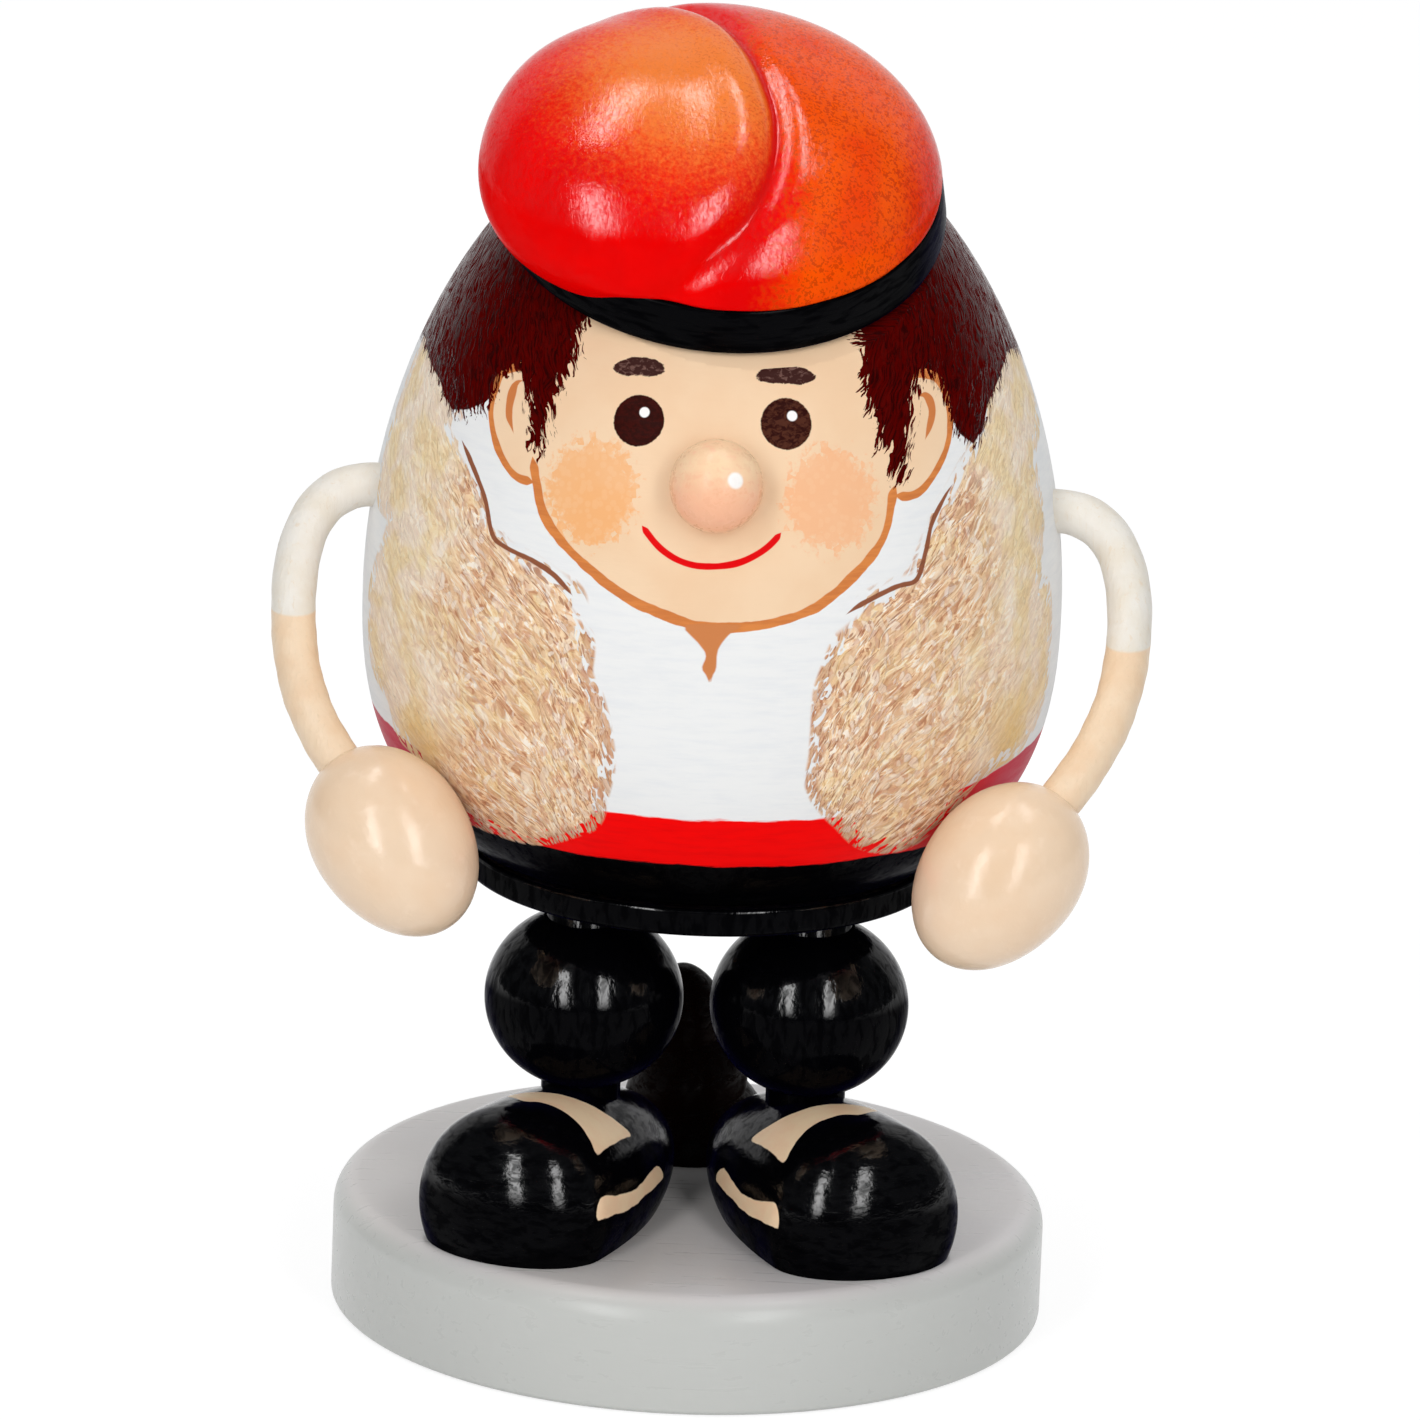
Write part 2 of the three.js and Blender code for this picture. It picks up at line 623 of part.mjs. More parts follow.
smoker.add(piece('base', makeBase(), PAINT.base));
for (const [word, side] of [['left', 1], ['right', -1]]) {
  smoker.add(piece(`shoe_${word}`, makeShoe(side), PAINT.black));
  const leg = piece(`leg_dowel_${word}`, makeLeg(), PAINT.black);
  leg.position.set(side * LEG_X, LEG_Y, 0);
  smoker.add(leg);
  const knee = piece(`knee_ball_${word}`, makeKnee(), PAINT.black);
  knee.position.set(side * LEG_X, LEG_Y, 0);
  smoker.add(knee);
}
smoker.add(piece('seat_plate', makeSeatPlate(), PAINT.black));
smoker.add(piece('cone_dish', makeDish(), TIN));
smoker.add(piece('dish_nail', makeNail(), STEEL));
const heap = piece('coiled_heap', makeHeap(), PAINT.heap);
heap.position.set(0, HEAP_Y, BASE_H);
smoker.add(heap);

const upper = new THREE.Group();
upper.position.z = rimZ;
upper.add(piece('body_shell', makeBody(), PAINT.shirt));
upper.add(piece('nose', makeNose(), PAINT.nose));
for (const [word, side] of [['left', 1], ['right', -1]]) {
  upper.add(piece(`arm_${word}`, makeArm(side), PAINT.cane));
  upper.add(piece(`hand_${word}`, makeHand(side), PAINT.skin));
}
const cap = new THREE.Group();
cap.applyMatrix4(capMatrix());
cap.add(piece('cap_band', makeCapBand(), PAINT.black));
cap.add(piece('cap_crown', makeCapCrown(), PAINT.red));
cap.add(piece('cap_pin', rod(CAP_PIN_R, -CAP_PIN_IN_BODY, CAP_PIN_IN_CAP), PAINT.bareWood));
upper.add(cap);
smoker.add(upper);

export default smoker;
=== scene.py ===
"""Looks of the incense smoker: painted turned wood under gloss lacquer, in a plain white studio."""
import math

import bmesh
import bpy
import numpy as np
from mathutils import Matrix, Quaternion, Vector


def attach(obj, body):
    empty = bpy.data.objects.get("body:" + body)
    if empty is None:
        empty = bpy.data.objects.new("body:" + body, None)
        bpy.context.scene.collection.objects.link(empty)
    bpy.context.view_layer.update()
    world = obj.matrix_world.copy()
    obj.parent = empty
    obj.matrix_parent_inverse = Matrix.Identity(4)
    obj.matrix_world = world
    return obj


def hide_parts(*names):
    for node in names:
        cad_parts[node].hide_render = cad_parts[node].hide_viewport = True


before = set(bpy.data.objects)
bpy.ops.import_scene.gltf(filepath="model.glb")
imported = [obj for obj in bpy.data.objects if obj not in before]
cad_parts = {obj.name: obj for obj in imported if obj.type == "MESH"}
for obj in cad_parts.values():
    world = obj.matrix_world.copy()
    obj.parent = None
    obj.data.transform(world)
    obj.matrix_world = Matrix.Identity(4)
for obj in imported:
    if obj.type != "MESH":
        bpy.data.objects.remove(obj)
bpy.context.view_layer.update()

# Sizes in millimetres, as in the CAD model
MM = 0.001
GAP = 0.3
BASE_R, BASE_H = 36, 12
LEG_R, LEG_X, LEG_Y, LEG_SUNK = 4, 11.3, -8.8, 5
TOE_R, TOE_LENGTH, HEEL_LENGTH, SHOE_TURN, SHOE_AHEAD = 10.3, 7.6, 27.8, 26.9, 13
SHOE_Z = BASE_H + 4.1
KNEE_R, KNEE_H = 10, 18.6
PLATE_R, PLATE_T = 24.4, 2.9
BODY_R, LOW_H, LOW_REACH, LOW_POWER, TOP_H, TOP_POWER = 35, 25.4, 30.2, 2.6, 51.1, 1.93
BORE_R, BORE_H, BORE_ROUND = 20, 50, 5
OUTLET_R, OUTLET_UP, FUNNEL_R, FUNNEL_FROM = 3.5, 41, 6.5, 15.2
NOSE_R, NOSE_UP, NOSE_OUT = 4.6, 45.5, 1.9
HAND_R, HAND_LENGTH, HAND_WIDEST = 7.8, 20.4, 0.46
HAND_AZIMUTH = {1: 48.4, -1: 51}
HAND_UP = {1: 4.9, -1: 5.7}
ARM_R, ARM_IN_BODY, ARM_IN_HAND, HAND_SUNK = 2.25, 7, 5, 3.5
SHOULDER_Y, SHOULDER_UP, ELBOW = -3, 36.1, (7.6, -6.8, -9.4)
CUFF_Z = {1: 74.2, -1: 74.5}
HEAP_Y, HEAP_R, HEAP_H, HEAP_TIP_R, HEAP_LEAN, HEAP_COILS = 14, 9, 19, 2.5, -1.4, 3
AIR_HOLE_R, AIR_HOLE_OUT, AIR_HOLES_AT = 2, 14.2, (20, 90, 160)


def shoe_r(s):
    """Radius of a shoe's turning, s back from its widest place."""
    s = np.asarray(s, float)
    front = TOE_R * np.sqrt(np.maximum(0, 1 - (s / TOE_LENGTH) ** 2))
    back = TOE_R * np.sqrt(np.maximum(0, 1 - (s / HEEL_LENGTH) ** 2))
    return np.where(s < 0, front, back)


LEG_HOLE_R = LEG_R + GAP
knee_seat = KNEE_H / 2 * math.sqrt(1 - (LEG_HOLE_R / KNEE_R) ** 2)
KNEE_Z = SHOE_Z + float(shoe_r(SHOE_AHEAD - LEG_HOLE_R)) + GAP + knee_seat
PLATE_Z = KNEE_Z + KNEE_H / 2 + 2.2
RIM = PLATE_Z + PLATE_T + GAP
DISH_Z = PLATE_Z + PLATE_T + 4.2
BODY_TOP = RIM + LOW_H + TOP_H


def body_r(z):
    """Radius of the body's outside at a height."""
    below = LOW_H - (np.asarray(z, float) - RIM)
    share = np.where(below > 0, below / LOW_REACH, -below / TOP_H)
    power = np.where(below > 0, LOW_POWER, TOP_POWER)
    return BODY_R * np.maximum(0, 1 - np.minimum(1, share) ** power) ** (1 / power)


def linear(rgb):
    """A colour of 0 to 255 as the shader's numbers."""
    shares = [c / 255 for c in rgb]
    return (*(c / 12.92 if c <= 0.04045 else ((c + 0.055) / 1.055) ** 2.4 for c in shares), 1.0)


# ---------------------------------------------------------------- materials
EDGE = 0.15


class Nodes:
    """A node tree. A method adds nodes and returns the last one's output."""

    def __init__(self, tree):
        self.tree = tree

    def plug(self, value, socket):
        if isinstance(value, bpy.types.NodeSocket):
            self.tree.links.new(value, socket)
        else:
            socket.default_value = value

    def node(self, kind, inputs=None, out=0, **props):
        n = self.tree.nodes.new(kind)
        for key, value in props.items():
            setattr(n, key, value)
        for key, value in (inputs or {}).items():
            self.plug(value, n.inputs[key])
        return n.outputs[out]

    def math(self, operation, a, b=0.0):
        return self.node("ShaderNodeMath", {0: a, 1: b}, operation=operation)

    def times(self, a, b):
        return self.math("MULTIPLY", a, b)

    def plus(self, a, b):
        return self.math("ADD", a, b)

    def end(self, kind, surface):
        self.plug(surface, self.tree.nodes.new(kind).inputs["Surface"])


class Paint(Nodes):
    """A node material; with own, it reads the coordinates that settle() stored."""

    def __init__(self, name, own=False, **shader):
        self.mat = bpy.data.materials.new(name)
        self.mat.use_nodes = True
        super().__init__(self.mat.node_tree)
        self.bsdf = self.tree.nodes["Principled BSDF"]
        for key, value in shader.items():
            self.bsdf.inputs[key.replace("_", " ")].default_value = value
        if own:
            self.mm = self.attribute("own", "Vector")
        else:
            place = self.node("ShaderNodeTexCoord", out="Object")
            self.mm = self.node("ShaderNodeMapping", {"Vector": place, "Scale": (1000, 1000, 1000)})

    def attribute(self, name, out="Fac"):
        return self.node("ShaderNodeAttribute", out=out, attribute_name=name)

    def noise(self, scale, detail=2.0, rough=0.5, distortion=0.0, vector=None, turn=(0, 0, 0)):
        """Noise, with one scale or with one for each axis after a turn."""
        vector = vector or self.mm
        if isinstance(scale, tuple):
            vector = self.node("ShaderNodeMapping", {"Vector": vector, "Scale": scale, "Rotation": turn})
            scale = 1.0
        inputs = {"Vector": vector, "Scale": scale, "Detail": detail, "Roughness": rough, "Distortion": distortion}
        return self.node("ShaderNodeTexNoise", inputs)

    def span(self, value, a, b, to_a=0.0, to_b=1.0):
        inputs = {0: value, 1: a, 2: b, 3: to_a, 4: to_b}
        return self.node("ShaderNodeMapRange", inputs, interpolation_type="SMOOTHSTEP")

    def fade(self, value, a, b):
        """1 where a value is up to a, 0 where it is over b."""
        return self.span(value, a, b, 1.0, 0.0)

    def within(self, distance, soft=0.05):
        """1 where a signed distance is below 0."""
        return self.fade(distance, -soft, soft)

    def mix(self, factor, a, b):
        a, b = (linear(c) if isinstance(c, tuple) else c for c in (a, b))
        return self.node("ShaderNodeMix", {0: factor, 6: a, 7: b}, out=2, data_type="RGBA")

    def tones(self, value, a, b, low, high):
        """One colour where a value is up to a, another where it is over b."""
        return self.mix(self.span(value, a, b), low, high)

    def gloss(self, value):
        self.plug(value, self.bsdf.inputs["Specular IOR Level"])

    def facing(self):
        return self.node("ShaderNodeLayerWeight", {"Blend": 0.5}, out="Facing")

    def thick_coat(self, streaks, gloss):
        """Gloss of lacquer that lies thick on the upper sides and thin below, with brush marks."""
        up = self.split(self.node("ShaderNodeNewGeometry", out="Normal"))[2]
        coat = self.times(self.span(up, 0.14, 0.36, 0.03, gloss), self.span(streaks, 0.38, 0.56, 0.3, 1.0))
        return self.times(coat, self.span(self.facing(), 0.28, 0.62, 1.0, 0.1))

    def dabs(self, grain, across, along, shift, share, size=0.45):
        """Brush dabs over a share of a surface: a mask, and a random number for each whole dab. A dab fades
        from EDGE less to EDGE more than its size."""
        inputs = {"Vector": grain, "Location": (shift,) * 3, "Scale": (across, across, along)}
        place = self.node("ShaderNodeMapping", inputs)
        cell = self.tree.nodes.new("ShaderNodeTexVoronoi")
        self.plug(place, cell.inputs["Vector"])
        cell.inputs["Scale"].default_value = 1
        chance = self.split(cell.outputs["Color"])
        shown = self.fade(chance[0], share - 0.01, share + 0.01)
        spot = self.fade(cell.outputs["Distance"], size * (1 - EDGE), size * (1 + EDGE))
        return self.times(shown, spot), chance[1]

    def bent(self, vector, reach, scale=0.4):
        """Coordinates pushed about by a few tenths of a millimetre, so that strokes bend."""
        push = self.node("ShaderNodeTexNoise", {"Vector": vector, "Scale": scale, "Detail": 1.0}, out="Color")
        return self.node("ShaderNodeVectorMath", {0: push, 1: (reach,) * 3, 2: vector}, operation="MULTIPLY_ADD")

    def mix_value(self, factor, a, b):
        return self.node("ShaderNodeMix", {0: factor, 2: a, 3: b}, data_type="FLOAT")

    def shifted(self, value, noise, reach):
        """A value pushed by a noise, by up to half of reach either way."""
        return self.plus(value, self.times(self.math("SUBTRACT", noise, 0.5), reach))

    def radius(self):
        """Distance in mm from the Z axis."""
        x, y, _ = self.split(self.mm)
        return self.math("SQRT", self.plus(self.times(x, x), self.times(y, y)))

    def near(self, point, scale=(1, 1, 1)):
        """Distance in mm from a point, with each axis scaled."""
        local = self.node("ShaderNodeVectorMath", {0: self.mm, 1: point}, operation="SUBTRACT")
        local = self.node("ShaderNodeVectorMath", {0: local, 1: scale}, operation="MULTIPLY")
        return self.node("ShaderNodeVectorMath", {0: local}, out="Value", operation="LENGTH")

    def split(self, vector):
        n = self.tree.nodes.new("ShaderNodeSeparateXYZ")
        self.plug(vector, n.inputs[0])
        return n.outputs

    def colour(self, value):
        self.plug(value, self.bsdf.inputs["Base Color"])

    def rough(self, value):
        self.plug(value, self.bsdf.inputs["Roughness"])

    def bump(self, *layers):
        """Relief of pairs, a height and its depth in mm, one on another."""
        inputs = {}
        for height, depth in layers:
            inputs |= {"Height": height, "Distance": depth * MM}
            inputs["Normal"] = self.node("ShaderNodeBump", inputs)
        self.plug(inputs["Normal"], self.bsdf.inputs["Normal"])


def lacquer_colour(p, streaks, cloud, colour, dark, edge=None):
    """Streaky colour, and where an edge tone is given, a painted reflection in that tone where the surface turns
    away from the view.
    """
    c = p.mix(p.times(streaks, cloud), colour, dark)
    # painted reflection: the edge tone fades in at glancing angles, a bluish sheen on the rims
    turned = p.times(p.span(p.facing(), 0.5, 0.95), p.span(cloud, 0.3, 0.7))
    return p.mix(turned, c, edge) if edge else c


def lacquer(name, streak, depth=0.03, roughness=(0.09, 0.14), gloss=0.7, own=False, **tones):
    """Gloss paint put on with a brush: streaks in the colour, the gloss and the surface."""
    p = Paint(name, own)
    streaks = p.noise(streak, 3, 0.55, 0.5)
    p.colour(lacquer_colour(p, streaks, p.noise(0.12, 3), **tones))
    p.rough(p.span(streaks, 0.3, 0.75, *roughness))
    p.gloss(p.thick_coat(streaks, gloss))
    p.bump((streaks, depth), (p.noise(2.2, 2), depth * 0.2))
    return p


def wood(name, light, dark, char=None):
    """Bare turned wood: pores along the grain, faint year rings, and soot where char says."""
    p = Paint(name, Roughness=0.62, Specular_IOR_Level=0.25)
    rings = p.noise((0.22, 0.22, 0.02), 3, 0.5, 1.5)
    fibres = p.noise((3.2, 3.2, 0.16), 3)
    base = p.tones(rings, 0.35, 0.65, light, dark)
    base = p.mix(p.times(p.span(fibres, 0.5, 0.75), 0.45), base, tuple(int(c * 0.7) for c in dark))
    if char:
        z = p.split(p.mm)[2]
        soot = p.times(p.span(z, char[0], char[1]), p.span(rings, 0.2, 0.7, 0.35, 0.8))
        base = p.mix(soot, base, (70, 48, 30))
    p.colour(base)
    p.bump((fibres, 0.06))
    return p


# The edge tone is a painted bluish reflection on the black lacquer's glancing rims
BLACK = dict(colour=(2, 2, 3), dark=(5, 5, 9), edge=(10, 8, 44))
black_ball = lacquer("black_lacquer_turned", (1.15, 1.15, 0.4), 0.04, **BLACK)
black_band = lacquer("black_lacquer_band", (0.3, 0.3, 1.6), 0.03, (0.2, 0.32), 0.08, own=True, **BLACK)
BROWN = dict(colour=(22, 9, 6), dark=(12, 5, 3))
brown_heap = lacquer("dark_brown_gloss", (0.9, 0.9, 1.4), 0.06, (0.2, 0.36), 0.2, **BROWN)
bare = wood("bare_turned_wood", (226, 190, 146), (206, 164, 118))
bore_wood = wood("bare_wood_smoked", (222, 186, 142), (200, 158, 112), char=(62, 104))


def base_paint():
    p = Paint("grey_gloss_paint", Specular_IOR_Level=0.45)
    radius = p.radius()
    height = p.split(p.mm)[2]
    ring = p.node("ShaderNodeCombineXYZ", {0: p.times(radius, 2.4), 1: p.times(height, 2.0), 2: 0.0})
    turned = p.noise(1.0, 3, 0.6, vector=ring)
    brush = p.noise((0.09, 1.0, 1.0), 4, 0.6, 0.4, turn=(0, 0, 0.12))
    cloud = p.noise(0.035, 3)
    c = p.tones(cloud, 0.35, 0.7, (218, 214, 211), (222, 219, 219))
    c = p.mix(p.times(p.span(brush, 0.45, 0.75), 0.12), c, (230, 227, 226))
    # Painted light: the top is a lighter grey than the rounded side, making up for the weaker light that falls on
    # it
    side = p.times(p.span(radius, 34.0, 35.8), 0.9)
    p.colour(p.mix(side, c, (194, 196, 192)))
    p.rough(p.span(brush, 0.3, 0.7, 0.27, 0.31))
    p.bump((turned, 0.012), (brush, 0.006), (p.noise(0.9, 2), 0.02))
    return p


def hand_paint():
    p = Paint("skin_gloss_paint", own=True, Specular_IOR_Level=0.6)
    cloud = p.noise(0.16, 3, 0.55)
    fine = p.noise((0.5, 0.5, 0.5), 3, 0.6, 0.2)
    c = p.mix(p.span(cloud, 0.35, 0.75, 0.0, 0.7), (240, 212, 182), (237, 203, 168))
    p.colour(p.mix(p.times(p.span(fine, 0.55, 0.8), 0.35), c, (252, 228, 204)))
    p.rough(p.span(fine, 0.3, 0.7, 0.18, 0.27))
    p.bump((fine, 0.07))
    return p


# ---------------------------------------------------------------- meshes
def band_faces(low, high):
    """Quads between two rings of vertex numbers."""
    return np.column_stack([low, np.roll(low, -1), np.roll(high, -1), high]).tolist()


def closed_faces(rings, sides):
    """Faces of rings stacked between a bottom point, vertex 0, and a top point, the last vertex."""
    first = 1 + np.arange(sides)
    last = first + (rings - 1) * sides
    top = 1 + rings * sides
    faces = [[0, b, a] for a, b in zip(first.tolist(), np.roll(first, -1).tolist())]
    faces += [[top, a, b] for a, b in zip(last.tolist(), np.roll(last, -1).tolist())]
    for k in range(rings - 1):
        faces += band_faces(first + k * sides, first + (k + 1) * sides)
    return faces


def revolve(profile, angles):
    """Vertices and faces of a turning about Z; a profile point on the axis is one vertex."""
    angles = np.asarray(angles, float)
    n = len(angles)
    verts, faces, rows = [], [], []
    count = 0
    for r, z in profile:
        if r < 1e-6:
            verts.append(np.array([[0, 0, z]]))
            rows.append(np.full(n, count))
        else:
            verts.append(np.column_stack([np.cos(angles) * r, np.sin(angles) * r, np.full(n, z)]))
            rows.append(np.arange(count, count + n))
        count += len(verts[-1])
    for low, high in zip(rows[:-1], rows[1:]):
        quads = np.array(band_faces(low, high))
        if low[0] == low[-1] and high[0] == high[-1]:
            continue
        if low[0] == low[-1]:
            quads = quads[:, [0, 2, 3]]
        elif high[0] == high[-1]:
            quads = quads[:, [0, 1, 2]]
        faces += quads.tolist()
    return np.vstack(verts), faces


def even(sides):
    return np.arange(sides) * 2 * math.pi / sides


def turning(profile, sides, ring=False):
    """A turning about Z; with ring, the profile is a loop that never meets the axis."""
    if not ring:
        return revolve(profile, even(sides))
    verts, faces = revolve([*profile, profile[0]], even(sides))
    kept = len(verts) - sides
    return verts[:kept], [[i % kept for i in f] for f in faces]


def arc(x, y, r, a, b, steps=8):
    turns = [math.radians(t) for t in np.linspace(a, b, steps + 1)]
    return [(x + r * math.cos(t), y + r * math.sin(t)) for t in turns]


def smooth(mesh, sharp=None):
    """Shades a mesh smooth, with sharp edges from an angle on."""
    mesh.polygons.foreach_set("use_smooth", [True] * len(mesh.polygons))
    if sharp:
        mesh.set_sharp_from_angle(angle=math.radians(sharp))


def put(name, data, place=None):
    """A new object in the scene."""
    obj = bpy.data.objects.new(name, data)
    bpy.context.scene.collection.objects.link(obj)
    if place is not None:
        obj.matrix_world = place
    return obj


def form(name, verts, faces, place=None):
    """A new mesh object from points in mm."""
    mesh = bpy.data.meshes.new(name)
    mesh.from_pydata((np.asarray(verts, float) * MM).tolist(), [], faces)
    mesh.validate()
    smooth(mesh)
    return put(name, mesh, place)


def piece(name, verts, faces, paints, body, nodes, slot, place=None, sharp=None):
    """A new visible piece in the row frame, in place of the CAD nodes named."""
    obj = form(name, verts, faces, place)
    for paint in paints:
        obj.data.materials.append(paint.mat)
    smooth(obj.data, sharp)
    bpy.context.view_layer.update()
    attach(obj, body)
    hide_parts(*nodes)
    return obj


def at(x, y, z):
    return Matrix.Translation(Vector((x, y, z)) * MM)


def framed(x, y, z, place):
    """The matrix for three axes and a place in metres."""
    return Matrix.Translation(place) @ Matrix((x, y, z)).transposed().to_4x4()


def along(direction, place):
    turn = Vector((0, 0, 1)).rotation_difference(Vector(direction).normalized())
    return at(*place) @ turn.to_matrix().to_4x4()


def cut(obj, verts, faces, place):
    """Takes a closed form out of a piece."""
    tool = form("cutter", verts, faces, place)
    mod = obj.modifiers.new("cut", "BOOLEAN")
    mod.operation = "DIFFERENCE"
    mod.solver = "EXACT"
    mod.object = tool
    bpy.context.view_layer.update()
    done = bpy.data.meshes.new_from_object(obj.evaluated_get(bpy.context.evaluated_depsgraph_get()))
    obj.modifiers.clear()
    old = obj.data
    obj.data = done
    done.name = obj.name
    bpy.data.meshes.remove(old)
    bpy.data.objects.remove(tool)


def slice_off(obj, point, normal):
    """Takes away what lies beyond a plane and closes the cut."""
    bm = bmesh.new()
    bm.from_mesh(obj.data)
    whole = bm.verts[:] + bm.edges[:] + bm.faces[:]
    plane = dict(plane_co=Vector(point) * MM, plane_no=normal)
    cutting = bmesh.ops.bisect_plane(bm, geom=whole, clear_outer=True, **plane)
    edges = [e for e in cutting["geom_cut"] if isinstance(e, bmesh.types.BMEdge)]
    bmesh.ops.contextual_create(bm, geom=edges)
    bmesh.ops.recalc_face_normals(bm, faces=bm.faces)
    bm.to_mesh(obj.data)
    bm.free()
    smooth(obj.data)


def store(mesh, name, values):
    """Keeps a number or a vector for each point of a mesh."""
    kind, key = ("FLOAT_VECTOR", "vector") if np.ndim(values) == 2 else ("FLOAT", "value")
    layer = mesh.attributes.new(name, kind, "POINT")
    layer.data.foreach_set(key, np.asarray(values, np.float32).ravel())


def places(items, key="co"):
    """Where vertices or, with the key "center", faces are, in mm."""
    out = np.empty(len(items) * 3)
    items.foreach_get(key, out)
    return out.reshape(-1, 3) / MM


def settle(obj):
    """Puts a turned piece's mesh in the row frame and keeps its own coordinates in mm for the paint."""
    bpy.context.view_layer.update()
    store(obj.data, "own", places(obj.data.vertices))
    obj.data.transform(obj.matrix_world)
    obj.matrix_world = Matrix.Identity(4)


# ---------------------------------------------------------------- painted outlines
def curve_through(points, per=6, closed=False):
    """A smooth line through points (Catmull-Rom)."""
    p = np.asarray(points, float)
    padded = np.vstack([p[-1:], p, p[:2]] if closed else [p[:1], p, p[-1:]])
    out = []
    for a, b, c, d in zip(padded, padded[1:], padded[2:], padded[3:]):
        for t in np.arange(per) / per:
            curve = (2 * a - 5 * b + 4 * c - d) * t**2 + (3 * b - a - 3 * c + d) * t**3
            out.append(0.5 * (2 * b + (c - a) * t + curve))
    return np.array(out if closed else out + [p[-1]])


def nearest(points, line, closed=False):
    """How far a line is from points, the same over 0 to its left and below 0 to its right, and where along
    it the nearest place is, in segments."""
    line = np.asarray(line, float)
    starts, ends = (line, np.roll(line, -1, axis=0)) if closed else (line[:-1], line[1:])
    best = np.full(len(points), 1e9)
    aside, where = np.zeros(len(points)), np.zeros(len(points))
    for i, (a, b) in enumerate(zip(starts, ends)):
        ab = b - a
        t = np.clip((points - a) @ ab / max(float(ab @ ab), 1e-12), 0, 1)
        to = points - a - t[:, None] * ab
        d = np.hypot(*to.T)
        near = d < best
        best = np.where(near, d, best)
        aside = np.where(near, np.sign(ab[0] * to[:, 1] - ab[1] * to[:, 0]) * d, aside)
        where = np.where(near, i + t, where)
    return best, aside, where


def signed_distance(points, shape):
    """Distance to a closed outline, below 0 inside it."""
    shape = np.asarray(shape, float)
    inside = np.zeros(len(points), bool)
    x, y = points.T
    for (ax, ay), (bx, by) in zip(shape, np.roll(shape, -1, axis=0)):
        crosses = (ay > y) != (by > y)
        inside ^= crosses & (x < (bx - ax) * (y - ay) / (by - ay + 1e-12) + ax)
    d = nearest(points, shape, True)[0]
    return np.where(inside, -d, d)


# Outlines on the body as (degrees from the front toward the figure's left, mm above the table)
FACE = [(-35.1, 95.7), (-33, 93.2), (-30, 90), (-24.2, 87.2), (-14.4, 83.7), (-4.1, 81.6), (0.1, 81.3), (8.5, 81.6),
        (17.1, 83.2), (24.7, 86.4), (29.8, 89.5), (32.3, 93.3), (33.6, 94.5)]
EAR_L = [(-37, 103.6), (-40.1, 103.3), (-42.7, 103.2), (-47.4, 102.1), (-47.7, 100.3), (-47.2, 98.6), (-44.8, 96.5),
         (-41.6, 94.7), (-37.8, 93.3), (-34.4, 93.1), (-33, 93.1)]
EAR_L_IN = [(-40.5, 102.1), (-42.9, 101.6), (-43.2, 100.2), (-42.5, 98.7), (-40.8, 97.5), (-39.1, 96.4)]
EAR_R = [(37, 104), (40.9, 103.8), (43.7, 103.9), (47.9, 103.1), (49.1, 101.2), (48.4, 99.1), (46.3, 97),
         (42.9, 95.1), (39, 93.5), (36, 93), (32.5, 93.3)]
EAR_R_IN = [(40.2, 101.7), (43.5, 101.9), (44.5, 100.6), (43.1, 99.2), (40.1, 97.2)]
HAIR_BACK = (97.8, 104, 110, 116, 121, 126)
HAIR_L = [(-32, 107.7), (-31.5, 105.4), (-31.1, 104), (-32.8, 102.5), (-33.2, 99.4), (-33.1, 97.4), (-33.7, 96),
          (-35.2, 96.2), (-37, 98.5), (-40.5, 102), (-42.9, 103.2), (-45.9, 102.8), (-48.6, 101.4), (-47.9, 99.7),
          (-50, 98.8), (-53.4, 97.8), (-58, 97.2), (-66, 99.1), (-83, 100.9), (-100, 99.5), (-125, 98.4),
          (-150, 97.8), (-180, 97.5), *((-200, z) for z in HAIR_BACK), (-32, 126)]
HAIR_R = [(31.7, 107.9), (30, 105.1), (30, 103), (30.7, 100.5), (31, 98), (32.9, 97.4), (33.7, 94.8), (34.7, 94.5),
          (36.6, 97.2), (38.6, 100.1), (40.1, 101.9), (42.3, 103.3), (45.1, 104), (48, 103.3), (49.1, 101.8),
          (49.1, 99.3), (50.3, 97.6), (53.3, 96.4), (57.7, 97.8), (60.8, 99.4), (64.6, 100.3), (72, 101.7),
          (78.5, 102.6), (100, 100.2), (125, 98.6), (150, 97.8), (180, 97.5),
          *((200, z) for z in HAIR_BACK), (31.7, 126)]
FLEECE_L = [(-57.3, 99.5), (-57.3, 95.7), (-52, 93.8), (-46.5, 91.4), (-41.5, 88.2), (-37, 86.1), (-31.2, 85.3),
            (-26.6, 84.2), (-23, 83.2), (-22, 81.2), (-20.7, 78.2), (-20.8, 75.4), (-18.6, 72.8), (-17.2, 69.2),
            (-16.8, 66.3), (-18.2, 62.8), (-19.8, 60), (-23.5, 58.6), (-31.7, 56.5), (-39.2, 56.2), (-48.1, 56.7),
            (-55, 59), (-59, 62.4), (-64, 63.5), (-66, 67), (-74, 69), (-76, 74), (-75, 77), (-70, 82), (-70, 85),
            (-80, 86), (-82, 93), (-82, 102)]
